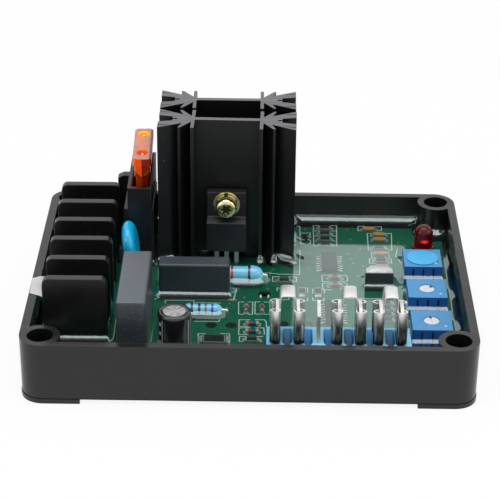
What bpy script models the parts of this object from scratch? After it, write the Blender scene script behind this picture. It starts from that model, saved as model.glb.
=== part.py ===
"""Automatic voltage regulator: a potted circuit board in a moulded tray.

The origin lies under the middle of the tray, on the plane of its feet. X runs along the
tray from the barrier block to the trimmers, Y from the tabs to the heat sinks, Z up.
Sizes are in metres. The leads of each part are trimmed flush with the underside of the
board, and the resin keeps a small clearance to everything that stands in it.
"""
import math

import bmesh
import bpy
from mathutils import Matrix, Vector

MM = 0.001

# Fit between pieces
SEAT = 0.3 * MM
SHEET_GAP = 0.2 * MM

# Moulded tray
TRAY_LENGTH = 106.0 * MM
TRAY_WIDTH = 82.5 * MM
TRAY_HEIGHT = 15.4 * MM
TRAY_WALL = 2.0 * MM
TRAY_FLOOR = 2.0 * MM
TRAY_DRAFT = 0.15 * MM
TRAY_CORNER = 5.4 * MM
RIM_ROUND = 0.4 * MM
FOOT_HEIGHT = 1.2 * MM
FOOT_LENGTH = 14.0 * MM
BOSS_INSET = 4.9 * MM
BOSS_RADIUS = 4.7 * MM
BOSS_HOLE = 6.2 * MM
POST_RADIUS = 2.0 * MM
POST_INSET = 14.0 * MM

# Circuit board and resin
BOARD_THICKNESS = 1.6 * MM
BOARD_STANDOFF = 1.9 * MM
BOARD_MARGIN = 1.2 * MM
RESIN_COVER = 1.5 * MM
LEAD_RADIUS = 0.4 * MM
LEAD_SIDES = 6
CHIP_HEIGHT = 0.55 * MM

# Barrier terminal block
BLOCK_WIDTH = 15.1 * MM
BLOCK_SETBACK = 2.1 * MM
BLOCK_MIDDLE_Y = 1.45 * MM
BLOCK_TURN = 0.5
BAY_COUNT = 5
BAY_PITCH = 10.25 * MM
BARRIER_THICKNESS = 2.0 * MM
BARRIER_HEIGHT = 17.0 * MM
BARRIER_ROUND = 1.5 * MM
BLOCK_BASE_WIDTH = 13.6 * MM
BLOCK_BASE_HEIGHT = 5.6 * MM
CONTACT_THICKNESS = 0.8 * MM
CONTACT_LENGTH = 10.4 * MM
CONTACT_WIDTH = 6.6 * MM
CONTACT_PIN_WIDTH = 1.2 * MM
TERMINAL_SCREW_RADIUS = 1.9 * MM
TERMINAL_SCREW_LENGTH = 4.0 * MM
TERMINAL_HEAD_RADIUS = 3.2 * MM
TERMINAL_HEAD_HEIGHT = 2.2 * MM
TERMINAL_SLOT = 0.8 * MM

# Blade fuse and its upright holder
HOLDER_X = -28.3 * MM
HOLDER_SETBACK = 3.25 * MM
HOLDER_WIDTH = 6.0 * MM
HOLDER_LENGTH = 22.0 * MM
HOLDER_HEIGHT = 22.0 * MM
HOLDER_WALL = 0.9 * MM
HOLDER_THIN_WALL = 0.5 * MM
HOLDER_FLOOR = 4.0 * MM
HOLDER_BASE_LEFT = 0.9 * MM
HOLDER_BASE_RIGHT = 0.5 * MM
HOLDER_BASE_HEIGHT = 16.1 * MM
HOLDER_LUG_REACH = 3.9 * MM
HOLDER_LUG_DEPTH = 2.0 * MM
HOLDER_LUG_CHAMFER = 0.7 * MM
FUSE_SHIFT = 0.45 * MM
FUSE_TURN = 1.3
FUSE_LENGTH = 19.1 * MM
FUSE_FLANGE_WIDTH = 4.7 * MM
FUSE_FLANGE_HEIGHT = 2.1 * MM
FUSE_NECK_WIDTH = 3.9 * MM
FUSE_NECK_HEIGHT = 3.2 * MM
FUSE_BODY_WIDTH = 3.2 * MM
FUSE_BODY_LENGTH = 16.6 * MM
FUSE_BODY_HEIGHT = 12.0 * MM
FUSE_TOP = 29.3 * MM
BLADE_WIDTH = 5.2 * MM
BLADE_THICKNESS = 0.65 * MM
BLADE_PITCH = 9.9 * MM
BLADE_HEIGHT = 17.6 * MM
BLADE_POINT = 0.9 * MM
MELT_LINK_DROP = 6.0 * MM
MELT_LINK_WIDTH = 1.0 * MM
FUSE_EYE_RADIUS = 1.35 * MM
FUSE_EYE_PITCH = 11.4 * MM
CLIP_HEIGHT = 9.0 * MM
CLIP_SHEET = 0.4 * MM
CLIP_FLARE = 0.5 * MM

# Extruded heat sinks with fish-bone ends
SINK_X = -6.4 * MM
SINK_WIDTH = 34.4 * MM
SINK_DEPTH = 11.5 * MM
SINK_HEIGHT = 38.2 * MM
SINK_PITCH = 12.7 * MM
SINK_TWIST = -1.2
WEB_THICKNESS = 1.5 * MM
WEB_SHIFT = 0.3 * MM
CHANNEL_WIDTH = 16.3 * MM
CROSS_PLATE = 0.85 * MM
CROSS_DEPTH = 11.1 * MM
TRUNK_HALF = 1.75 * MM
BARB_REACH = 4.0 * MM
BARB_DEPTH = 10.8 * MM
BARB_TIP = 0.6 * MM
FORK_THICKNESS = 1.4 * MM
FORK_SLOT = 0.4 * MM
HOLLOW_HALF = 2.0 * MM
HOLLOW_DEPTH = 3.5 * MM
HOLLOW_SLIT = 0.7 * MM
HOLLOW_SLIT_DEPTH = 1.2 * MM
SINK_PIN_RADIUS = 0.9 * MM

# Power devices bolted to the webs
DEVICE_WIDTH = 10.16 * MM
DEVICE_THICKNESS = 4.5 * MM
DEVICE_TAB = 2.5 * MM
DEVICE_HEIGHT = 15.8 * MM
DEVICE_BODY_HEIGHT = 9.0 * MM
DEVICE_SHOULDER = 0.9 * MM
DEVICE_EDGE = 0.2 * MM
DEVICE_LIFT = 3.8 * MM
DEVICE_LEAD_PITCH = 2.54 * MM
DEVICE_LEAD_WIDTH = 1.1 * MM
DEVICE_LEAD_THICKNESS = 0.5 * MM
BOLT_HEIGHT = 12.9 * MM
BOLT_RADIUS = 1.4 * MM
BOLT_HEAD_RADIUS = 2.6 * MM
BOLT_HEAD_HEIGHT = 2.0 * MM
BOLT_REACH = 2.0 * MM
BOLT_STAR_RADIUS = 1.35 * MM
BOLT_STAR_WAIST = 0.8 * MM
FLAT_WASHER_RADIUS = 3.4 * MM
FLAT_WASHER_THICKNESS = 0.5 * MM
SPRING_WASHER_RADIUS = 2.8 * MM
SPRING_WASHER_THICKNESS = 0.8 * MM

# Capacitors
LARGE_FILM_SIZE = (6.9 * MM, 26.2 * MM, 15.5 * MM)
LARGE_FILM_PLACE = (-27.35 * MM, -20.2 * MM)
LARGE_FILM_PITCH = 22.5 * MM
SMALL_FILM_SIZE = (17.5 * MM, 4.9 * MM, 9.5 * MM)
SMALL_FILM_PLACE = (-13.95 * MM, -0.55 * MM)
SMALL_FILM_PITCH = 15.0 * MM
FILM_EDGE = 0.5 * MM
CAN_RADIUS = 4.0 * MM
CAN_HEIGHT = 11.7 * MM
CAN_PLACE = (-17.5 * MM, -29.7 * MM)
CAN_LEAD_PITCH = 3.5 * MM
CAN_VENT_RADIUS = 2.7 * MM
CAN_GROOVE_HEIGHT = 2.1 * MM
CAN_GROOVE_DEPTH = 0.35 * MM
CAN_EDGE = 0.8 * MM
CAN_VENT_DEPTH = 0.2 * MM
CAN_SCORE = 0.3 * MM

# Varistor disc
VARISTOR_RADIUS = 6.0 * MM
VARISTOR_THICKNESS = 4.1 * MM
VARISTOR_X = -30.2 * MM
VARISTOR_HOLDER_GAP = 0.5 * MM
VARISTOR_LIFT = 10.0 * MM
VARISTOR_LEAN = 9.0
VARISTOR_LEAD_PITCH = 7.5 * MM

# Axial resistors
LARGE_RESISTOR = (12.0 * MM, 2.35 * MM, 1.3 * MM)
LARGE_RESISTOR_PLACE = (-3.0 * MM, 5.3 * MM)
SMALL_RESISTOR = (9.5 * MM, 1.6 * MM, 1.9 * MM)
SMALL_RESISTOR_PLACE = (-11.65 * MM, -11.7 * MM)
RESISTOR_LIFT = 0.3 * MM
RESISTOR_LEAD_BEND = 0.5 * MM

# Trimmers with their rotors
TRIMMER_SIDE = 9.53 * MM
TRIMMER_HEIGHT = 4.6 * MM
TRIMMER_SETBACK = 3.05 * MM
TRIMMER_PITCH = 16.0 * MM
TRIMMER_MIDDLE_Y = -4.25 * MM
TRIMMER_GROOVE = 0.4 * MM
TRIMMER_LEAD_PITCH = 2.54 * MM
ROTOR_RADIUS = 1.9 * MM
ROTOR_DEPTH = 2.6 * MM
ROTOR_SLOT = 0.6 * MM
ROTOR_SINK = 0.1 * MM
ROTOR_SLOT_DEPTH = 0.3 * MM
DIAL_RADIUS = 4.0 * MM
DIAL_THICKNESS = 0.5 * MM

# Indicator lamp
LAMP_RADIUS = 2.4 * MM
LAMP_FLANGE_RADIUS = 2.9 * MM
LAMP_HEIGHT = 8.8 * MM
LAMP_FLANGE_HEIGHT = 1.0 * MM
LAMP_LEAD_PITCH = 2.54 * MM
LAMP_SETBACK_X = 7.0 * MM
LAMP_SETBACK_Y = 18.4 * MM

# Spade tabs, their base and the links across them
TAB_COUNT = 7
TAB_PITCH = 4.83 * MM
TAB_THICKNESS = 0.8 * MM
TAB_DEPTH = 6.2 * MM
TAB_TOP = 12.2 * MM
TAB_ROW_X = 20.9 * MM
TAB_SETBACK = 12.4 * MM
TAB_BASE_LENGTH = 34.0 * MM
TAB_BASE_DEPTH = 9.2 * MM
TAB_BASE_HEIGHT = 3.5 * MM
TAB_LEG_WIDTH = 1.2 * MM
TAB_TAPER = 1.0 * MM
TAB_DETENT_RADIUS = 0.8 * MM
TAB_DETENT_DROP = 3.6 * MM
SCOOP_RIB = 1.4 * MM
SCOOP_LOW = 0.8 * MM
SCOOP_HIGH = 2.9 * MM
LINKED_TABS = ((0, 1), (3, 4), (5, 6))
LINK_SHEET = 0.35 * MM
LINK_DEPTH = 7.6 * MM
LINK_ROLL = 1.1 * MM
LINK_BOTTOM = 3.9 * MM
LINK_SHOULDER = 12.0 * MM
LINK_CROWN = 15.6 * MM
LINK_CROWN_DEPTH = 5.4 * MM
LINK_BEND = 0.6 * MM

# Surface-mounted parts
PACKAGE_WIDTH = 3.9 * MM
PACKAGE_HEIGHT = 1.4 * MM
PACKAGE_SPAN = 6.0 * MM
PIN_PITCH = 1.27 * MM
PIN_WIDTH = 0.4 * MM
PIN_SHEET = 0.2 * MM
PIN_KNEE = 0.65 * MM
PIN_SHOULDER = 0.25 * MM
PACKAGE_END = 0.55 * MM
PACKAGE_EDGE = 0.15 * MM
PACKAGE_GAP = 0.1 * MM
REAR_PINS = 7
FRONT_PINS = 8
REAR_CHIP_PLACE = (19.9 * MM, 16.6 * MM)
FRONT_CHIP_PLACE = (20.2 * MM, -9.7 * MM)
PASS_DEVICE_WIDTH = 7.0 * MM
PASS_DEVICE_DEPTH = 3.8 * MM
PASS_DEVICE_HEIGHT = 4.0 * MM
PASS_DEVICE_PLACE = (31.9 * MM, 4.5 * MM)
CHIP = (3.2 * MM, 1.6 * MM)
SMALL_CHIP = (2.0 * MM, 1.25 * MM)
WIDE_CHIP = (6.3 * MM, 3.2 * MM)
GLASS_CHIP = (3.4 * MM, 1.4 * MM)
TRANSISTOR_CHIP = (2.9 * MM, 1.3 * MM)

# Levels and edges that follow from the sizes above
FLOOR_TOP = FOOT_HEIGHT + TRAY_FLOOR
BOARD_BOTTOM = FLOOR_TOP + BOARD_STANDOFF
BOARD_TOP = BOARD_BOTTOM + BOARD_THICKNESS
STAND = BOARD_TOP + SEAT
RESIN_TOP = BOARD_TOP + RESIN_COVER
INNER_X = TRAY_LENGTH / 2 - TRAY_WALL
INNER_Y = TRAY_WIDTH / 2 - TRAY_WALL
BOSS_X = TRAY_LENGTH / 2 - BOSS_INSET
BOSS_Y = TRAY_WIDTH / 2 - BOSS_INSET
HOLDER_Y = INNER_Y - HOLDER_SETBACK - HOLDER_LENGTH / 2
REAR_SINK_Y = INNER_Y - SEAT - SINK_DEPTH / 2
FRONT_SINK_Y = REAR_SINK_Y - SINK_PITCH
CLEAR = 1.0 * MM

# Holes in the board, pockets in the resin and low parts under it, in world coordinates
board_holes = []
resin_pockets = []
low_parts = []


def clear_objects():
    for obj in list(bpy.data.objects):
        bpy.data.objects.remove(obj, do_unlink=True)


def finish(name, colour, roughness, metallic=0.0, alpha=1.0):
    """A plain material in the colour of the real piece."""
    mat = bpy.data.materials.new(name)
    mat.use_nodes = True
    shader = mat.node_tree.nodes["Principled BSDF"]
    shader.inputs["Base Color"].default_value = (*colour, 1.0)
    shader.inputs["Roughness"].default_value = roughness
    shader.inputs["Metallic"].default_value = metallic
    shader.inputs["Alpha"].default_value = alpha
    mat.diffuse_color = (*colour, 1.0)
    return mat


def circle(radius, steps=16, centre=(0.0, 0.0), start=0.0, sweep=2 * math.pi):
    """Points round a circle, or along an arc of it with both ends when sweep is shorter."""
    closed = abs(sweep) > 2 * math.pi - 1e-6
    count = steps if closed else steps + 1
    return [(centre[0] + radius * math.cos(start + sweep * i / steps),
             centre[1] + radius * math.sin(start + sweep * i / steps)) for i in range(count)]


def rectangle(width, depth, centre=(0.0, 0.0)):
    x, y = width / 2, depth / 2
    return [(centre[0] + i * x, centre[1] + j * y) for i, j in ((-1, -1), (1, -1), (1, 1), (-1, 1))]


def rounded_rectangle(width, depth, radius, steps=5, centre=(0.0, 0.0)):
    points = []
    for corner, (i, j) in enumerate(((1, 1), (-1, 1), (-1, -1), (1, -1))):
        middle = (centre[0] + i * (width / 2 - radius), centre[1] + j * (depth / 2 - radius))
        points += circle(radius, steps, middle, corner * math.pi / 2, math.pi / 2)
    return points


def notched_rectangle(half_x, half_y, notch_radius, steps=6):
    """A rectangle whose four corners are scooped out round the tray's bosses."""
    x_reach = math.sqrt(notch_radius ** 2 - (half_y - BOSS_Y) ** 2)
    y_reach = math.sqrt(notch_radius ** 2 - (half_x - BOSS_X) ** 2)
    start = math.atan2(-y_reach, half_x - BOSS_X)
    end = math.atan2(half_y - BOSS_Y, -x_reach) - 2 * math.pi
    corner = circle(notch_radius, steps, (BOSS_X, BOSS_Y), start, end - start)
    flipped = [(-x, y) for x, y in reversed(corner)]
    return corner + flipped + [(-x, -y) for x, y in corner] + [(-x, -y) for x, y in flipped]


def thick_line(points, thickness):
    """The outline of a strip of even thickness along an open line of points."""
    left, right = [], []
    for i, point in enumerate(points):
        before = Vector(points[max(i - 1, 0)])
        here = Vector(point)
        after = Vector(points[min(i + 1, len(points) - 1)])
        one = (here - before).normalized() if i else (after - here).normalized()
        two = (after - here).normalized() if i < len(points) - 1 else one
        normal = Vector((-(one.y + two.y), one.x + two.x)).normalized()
        reach = thickness / 2 / max(normal.dot(Vector((-one.y, one.x))), 0.5)
        left.append(tuple(here + normal * reach))
        right.append(tuple(here - normal * reach))
    return left + right[::-1]


def stack(sections):
    """A solid through outlines of equal point count, each at its own height."""
    count = len(sections[0][0])
    verts = [(x, y, z) for outline, z in sections for x, y in outline]
    faces = [tuple(reversed(range(count)))]
    for level in range(len(sections) - 1):
        low, high = level * count, (level + 1) * count
        for i in range(count):
            j = (i + 1) % count
            faces.append((low + i, low + j, high + j, high + i))
    faces.append(tuple(range((len(sections) - 1) * count, len(sections) * count)))
    return verts, faces


def prism(outline, low, high, axis="Z"):
    """An extruded outline. Along X the outline is (y, z), along Y it is (x, z)."""
    verts, faces = stack([(outline, low), (outline, high)])
    order = {"Z": (0, 1, 2), "X": (2, 0, 1), "Y": (0, 2, 1)}[axis]
    return [tuple(v[k] for k in order) for v in verts], faces


def block(x, y, z):
    return prism([(x[0], y[0]), (x[1], y[0]), (x[1], y[1]), (x[0], y[1])], z[0], z[1])


def turned(profile, steps=24, axis="Z", centre=(0.0, 0.0, 0.0)):
    """A solid of revolution through (radius, height) points from axis to axis."""
    verts, rings = [], []
    for radius, height in profile:
        if radius < 1e-9:
            rings.append([len(verts)] * steps)
            verts.append((0.0, 0.0, height))
        else:
            rings.append(list(range(len(verts), len(verts) + steps)))
            verts += [(x, y, height) for x, y in circle(radius, steps)]
    faces = []
    for low, high in zip(rings, rings[1:]):
        for i in range(steps):
            j = (i + 1) % steps
            ring = [low[i], low[j], high[j], high[i]]
            faces.append(tuple(dict.fromkeys(ring)))
    order = {"Z": (0, 1, 2), "X": (2, 0, 1), "Y": (0, 2, 1)}[axis]
    return [tuple(v[order[k]] + centre[k] for k in range(3)) for v in verts], faces


def wire(path, radius, sides=LEAD_SIDES):
    """A round lead along a line of points in one upright plane through X."""
    outline = circle(radius, sides)
    verts = []
    for i, point in enumerate(path):
        here = Vector(point)
        one = (here - Vector(path[i - 1])).normalized() if i else None
        two = (Vector(path[i + 1]) - here).normalized() if i < len(path) - 1 else None
        along = ((one or two) + (two or one)).normalized()
        stretch = 1.0 / max(along.dot(one or two), 0.5)
        side = Vector((0.0, 1.0, 0.0))
        up = along.cross(side).normalized()
        verts += [tuple(here + side * a + up * b * stretch) for a, b in outline]
    faces = [tuple(range(sides))]
    for level in range(len(path) - 1):
        for i in range(sides):
            j = (i + 1) % sides
            faces.append((level * sides + i, level * sides + j,
                          (level + 1) * sides + j, (level + 1) * sides + i))
    faces.append(tuple(range((len(path) - 1) * sides, len(path) * sides)))
    return verts, faces


def joined(solids):
    verts, faces = [], []
    for more_verts, more_faces in solids:
        faces += [tuple(len(verts) + k for k in face) for face in more_faces]
        verts += more_verts
    return verts, faces


def make(name, solid, mat=None, smooth=30.0):
    """An object from a solid, with its faces turned outward."""
    mesh = bpy.data.meshes.new(name)
    mesh.from_pydata([tuple(v) for v in solid[0]], [], solid[1])
    mesh.update()
    obj = bpy.data.objects.new(name, mesh)
    bpy.context.scene.collection.objects.link(obj)
    turn_outward(obj)
    if mat:
        mesh.materials.append(mat)
    mesh.shade_smooth()
    mesh.set_sharp_from_angle(angle=math.radians(smooth))
    return obj


def turn_outward(obj):
    shape = bmesh.new()
    shape.from_mesh(obj.data)
    bmesh.ops.recalc_face_normals(shape, faces=shape.faces)
    shape.to_mesh(obj.data)
    shape.free()


def settle(obj):
    """Replaces the object's mesh by what its modifiers make of it."""
    graph = bpy.context.evaluated_depsgraph_get()
    mesh = bpy.data.meshes.new_from_object(obj.evaluated_get(graph))
    obj.modifiers.clear()
    obj.data = mesh
    mesh.name = obj.name


def combine(obj, solids, operation):
    """Cuts solids from an object or fuses them with it, in the object's own frame."""
    tool = make(obj.name + "_tool", joined(solids))
    boolean = obj.modifiers.new(operation.title(), "BOOLEAN")
    boolean.operation = operation
    boolean.solver = "EXACT"
    boolean.use_self = len(solids) > 1
    boolean.object = tool
    settle(obj)
    bpy.data.objects.remove(tool, do_unlink=True)
    return obj


def cut(obj, solids):
    return combine(obj, solids, "DIFFERENCE")


def fuse(obj, solids):
    return combine(obj, solids, "UNION")


def soften(obj, width, segments=2):
    bevel = obj.modifiers.new("Edges", "BEVEL")
    bevel.width = width
    bevel.segments = segments
    bevel.limit_method = "ANGLE"
    settle(obj)
    return obj


def place(obj, location, parent=None, turn=0.0):
    obj.location = location
    obj.rotation_euler = (0.0, 0.0, turn)
    if parent:
        obj.parent = parent
    bpy.context.view_layer.update()
    return obj


def anchor(name, location, parent=None, turn=0.0):
    """An empty that carries a group of pieces."""
    empty = bpy.data.objects.new(name, None)
    bpy.context.scene.collection.objects.link(empty)
    return place(empty, location, parent, turn)


def on_board(obj, points):
    """Points of an object's own frame, seen from above in the board's frame."""
    return [tuple((obj.matrix_world @ Vector((x, y, 0.0)))[:2]) for x, y in points]


def stand(obj, footprint, leads=(), radius=LEAD_RADIUS):
    """Gives an object its pocket in the resin and the holes for its leads."""
    if footprint:
        resin_pockets.append(on_board(obj, footprint))
    for centre in on_board(obj, leads):
        board_holes.append((centre, radius + SEAT))


def straight_leads(spots, radius=LEAD_RADIUS, top=CLEAR):
    """Leads from inside a body that stands on the board down to the board's underside."""
    return [prism(circle(radius, LEAD_SIDES, spot), BOARD_BOTTOM - STAND, top) for spot in spots]


def tray(mat):
    """The moulded tray: drafted walls, four bosses, four feet and four board posts."""
    outer = TRAY_LENGTH, TRAY_WIDTH
    shrink = ((0.0, TRAY_DRAFT), (TRAY_HEIGHT - RIM_ROUND, 0.0),
              (TRAY_HEIGHT - RIM_ROUND / 4, RIM_ROUND / 4), (TRAY_HEIGHT, RIM_ROUND))
    sections = []
    for height, inset in shrink:
        outline = rounded_rectangle(outer[0] - 2 * inset, outer[1] - 2 * inset, TRAY_CORNER - inset)
        sections.append((outline, height))
    obj = make("tray", stack(sections), mat)
    cavity = stack([(notched_rectangle(INNER_X, INNER_Y, BOSS_RADIUS), FLOOR_TOP),
                    (notched_rectangle(INNER_X, INNER_Y, BOSS_RADIUS), TRAY_HEIGHT + CLEAR)])
    cut(obj, [cavity])
    half_x = TRAY_LENGTH / 2 - FOOT_LENGTH
    half_y = TRAY_WIDTH / 2 - FOOT_LENGTH
    cut(obj, [block((-half_x, half_x), (-TRAY_WIDTH, TRAY_WIDTH), (-CLEAR, FOOT_HEIGHT))])
    cut(obj, [block((-TRAY_LENGTH, TRAY_LENGTH), (-half_y, half_y), (-CLEAR, FOOT_HEIGHT))])
    holes = []
    for i, j in ((-1, -1), (1, -1), (1, 1), (-1, 1)):
        rim = circle(BOSS_HOLE / 2, 16, (i * BOSS_X, j * BOSS_Y))
        holes.append(prism(rim, -CLEAR, TRAY_HEIGHT + CLEAR))
    cut(obj, holes)
    posts = [prism(circle(POST_RADIUS, 8, spot), FLOOR_TOP - TRAY_FLOOR / 2, BOARD_BOTTOM - SEAT)
             for spot in post_spots()]
    return fuse(obj, posts)


def post_spots():
    x, y = INNER_X - POST_INSET, INNER_Y - POST_INSET
    return [(i * x, j * y) for i, j in ((-1, -1), (1, -1), (1, 1), (-1, 1))]


def chip_layout():
    """The low surface-mounted parts: centre, size and whether it is turned across."""
    rear_row = [(19.1 * MM, (27.2 + 3.3 * i) * MM, CHIP, False) for i in range(4)]
    tan_parts = [(30.9 * MM, 36.6 * MM, CHIP, False), (33.4 * MM, 33.4 * MM, CHIP, False),
                 (33.4 * MM, 30.5 * MM, CHIP, False), (33.4 * MM, 22.5 * MM, CHIP, False),
                 (33.4 * MM, 15.3 * MM, CHIP, False), (8.3 * MM, 1.9 * MM, SMALL_CHIP, True)]
    middle = [(33.1 * MM, 25.9 * MM, CHIP, False), (33.2 * MM, 18.8 * MM, CHIP, False),
              (8.3 * MM, 7.4 * MM, CHIP, False)]
    right_rows = [(33.2 * MM, (-12.4 + 2.9 * i) * MM, CHIP, False) for i in range(4)]
    across = [(x * MM, 1.7 * MM, CHIP, True) for x in (12.7, 16.7)]
    glass = [(21.1 * MM, 9.0 * MM, GLASS_CHIP, False), (21.1 * MM, 4.9 * MM, GLASS_CHIP, False),
             (0.5 * MM, -15.1 * MM, GLASS_CHIP, False), (0.5 * MM, -18.9 * MM, GLASS_CHIP, False),
             (-1.1 * MM, -7.7 * MM, GLASS_CHIP, True), (2.8 * MM, -7.7 * MM, GLASS_CHIP, True)]
    front = [(0.5 * MM, -22.6 * MM, CHIP, False), (-8.5 * MM, -22.6 * MM, WIDE_CHIP, False)]
    small = [(13.9 * MM, 31.0 * MM, TRANSISTOR_CHIP, True), (3.4 * MM, 0.0, TRANSISTOR_CHIP, False)]
    return rear_row + tan_parts + middle + right_rows + across + glass + front + small


def circuit_board(mat):
    """The board, scooped out round the bosses, drilled for leads, with its low parts."""
    outline = notched_rectangle(INNER_X - BOARD_MARGIN, INNER_Y - BOARD_MARGIN,
                                BOSS_RADIUS + BOARD_MARGIN)
    obj = make("circuit_board", prism(outline, BOARD_BOTTOM, BOARD_TOP), mat)
    chips = []
    for x, y, size, across in chip_layout():
        wide, deep = (size[1], size[0]) if across else size
        low_parts.append(rectangle(wide + 2 * SEAT, deep + 2 * SEAT, (x, y)))
        chips.append(prism(rectangle(wide, deep, (x, y)), BOARD_TOP - SEAT, BOARD_TOP + CHIP_HEIGHT))
    fuse(obj, chips)
    holes = [prism(circle(radius, LEAD_SIDES, centre), BOARD_BOTTOM - CLEAR, BOARD_TOP + CLEAR / 4)
             for centre, radius in board_holes]
    return cut(obj, holes)


def potting_resin(mat):
    """The cast resin: a slab round the board with a pocket for all that stands in it."""
    outline = notched_rectangle(INNER_X - SEAT, INNER_Y - SEAT, BOSS_RADIUS + SEAT)
    obj = make("potting_resin", prism(outline, FLOOR_TOP + SEAT, RESIN_TOP), mat)
    room = notched_rectangle(INNER_X - BOARD_MARGIN + SEAT, INNER_Y - BOARD_MARGIN + SEAT,
                             BOSS_RADIUS + BOARD_MARGIN - SEAT)
    inside = (BOARD_BOTTOM + BOARD_TOP) / 2
    tools = [prism(room, BOARD_BOTTOM - SEAT, STAND)]
    tools += [prism(outline, inside, RESIN_TOP + CLEAR) for outline in resin_pockets]
    tools += [prism(outline, inside, BOARD_TOP + CHIP_HEIGHT + SEAT) for outline in low_parts]
    tools += [prism(circle(POST_RADIUS + SEAT, 8, spot), FLOOR_TOP - CLEAR, inside)
              for spot in post_spots()]
    return cut(obj, tools)


def bay_middles():
    return [(i - (BAY_COUNT - 1) / 2) * BAY_PITCH for i in range(BAY_COUNT)]


def block_place():
    return -INNER_X + BLOCK_SETBACK + BLOCK_WIDTH / 2, BLOCK_MIDDLE_Y, STAND


def terminal_block(centre, mat):
    """The barrier block: a base bar with rounded partitions between the bays."""
    length = BAY_COUNT * BAY_PITCH + BARRIER_THICKNESS
    obj = make("terminal_block", prism(rectangle(BLOCK_BASE_WIDTH, length - 2 * SEAT),
                                       0.0, BLOCK_BASE_HEIGHT), mat)
    half = BLOCK_WIDTH / 2
    top = [(half, 0.0)]
    top += circle(BARRIER_ROUND, 4, (half - BARRIER_ROUND, BARRIER_HEIGHT - BARRIER_ROUND),
                  0.0, math.pi / 2)
    outline = top + [(-x, z) for x, z in reversed(top)]
    barriers = []
    for i in range(BAY_COUNT + 1):
        middle = (i - BAY_COUNT / 2) * BAY_PITCH
        barriers.append(prism(outline, middle - BARRIER_THICKNESS / 2,
                              middle + BARRIER_THICKNESS / 2, "Y"))
    fuse(obj, barriers)
    tools = []
    for y in bay_middles():
        bore = circle(TERMINAL_SCREW_RADIUS + SEAT, 12, (0.0, y))
        tools.append(prism(bore, BLOCK_BASE_HEIGHT - TERMINAL_SCREW_LENGTH - SEAT,
                           BLOCK_BASE_HEIGHT + CLEAR))
        tools.append(prism(rectangle(*[side + 2 * SEAT for side in pin_section()],
                                     (pin_offset(), y)), -CLEAR, BLOCK_BASE_HEIGHT + CLEAR))
    cut(obj, tools)
    place(obj, (0.0, 0.0, 0.0), centre)
    stand(obj, rectangle(BLOCK_WIDTH + 2 * SEAT, length + 2 * SEAT))
    return obj


def pin_section():
    return CONTACT_THICKNESS, CONTACT_PIN_WIDTH


def pin_offset():
    return CONTACT_LENGTH / 2 - CONTACT_THICKNESS / 2


def terminal_contact(index, centre, y, mat):
    """A contact plate with a bent-down pin, bored for its screw."""
    half = CONTACT_LENGTH / 2
    seat = BLOCK_BASE_HEIGHT + SEAT
    obj = make(f"terminal_contact_{index}",
               block((-half, half), (-CONTACT_WIDTH / 2, CONTACT_WIDTH / 2),
                     (seat, seat + CONTACT_THICKNESS)), mat)
    thick, wide = pin_section()
    pin = block((half - thick, half), (-wide / 2, wide / 2),
                (BOARD_BOTTOM - STAND, seat + CONTACT_THICKNESS / 2))
    fuse(obj, [pin])
    cut(obj, [prism(circle(TERMINAL_SCREW_RADIUS + SEAT, 12), 0.0, BARRIER_HEIGHT)])
    place(obj, (0.0, y, 0.0), centre)
    stand(obj, None, [(pin_offset(), 0.0)], wide / 2 + SEAT)
    return obj


def terminal_screw(index, centre, y, mat):
    """A pan-head screw with a cross slot, seated on its contact plate."""
    seat = BLOCK_BASE_HEIGHT + 2 * SEAT + CONTACT_THICKNESS
    radius, head = TERMINAL_SCREW_RADIUS, TERMINAL_HEAD_RADIUS
    top = seat + TERMINAL_HEAD_HEIGHT
    profile = [(0.0, BLOCK_BASE_HEIGHT - TERMINAL_SCREW_LENGTH),
               (radius, BLOCK_BASE_HEIGHT - TERMINAL_SCREW_LENGTH), (radius, seat), (head, seat),
               (head, top - head / 4), (head * 0.8, top), (0.0, top)]
    obj = make(f"terminal_screw_{index}", turned(profile, 12), mat)
    half = TERMINAL_SLOT / 2
    deep = top - TERMINAL_HEAD_HEIGHT / 2
    cut(obj, [block((-head * 0.6, head * 0.6), (-half, half), (deep, top + CLEAR)),
              block((-half, half), (-head * 0.6, head * 0.6), (deep, top + 2 * CLEAR))])
    return place(obj, (0.0, y, 0.0), centre)


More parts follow.
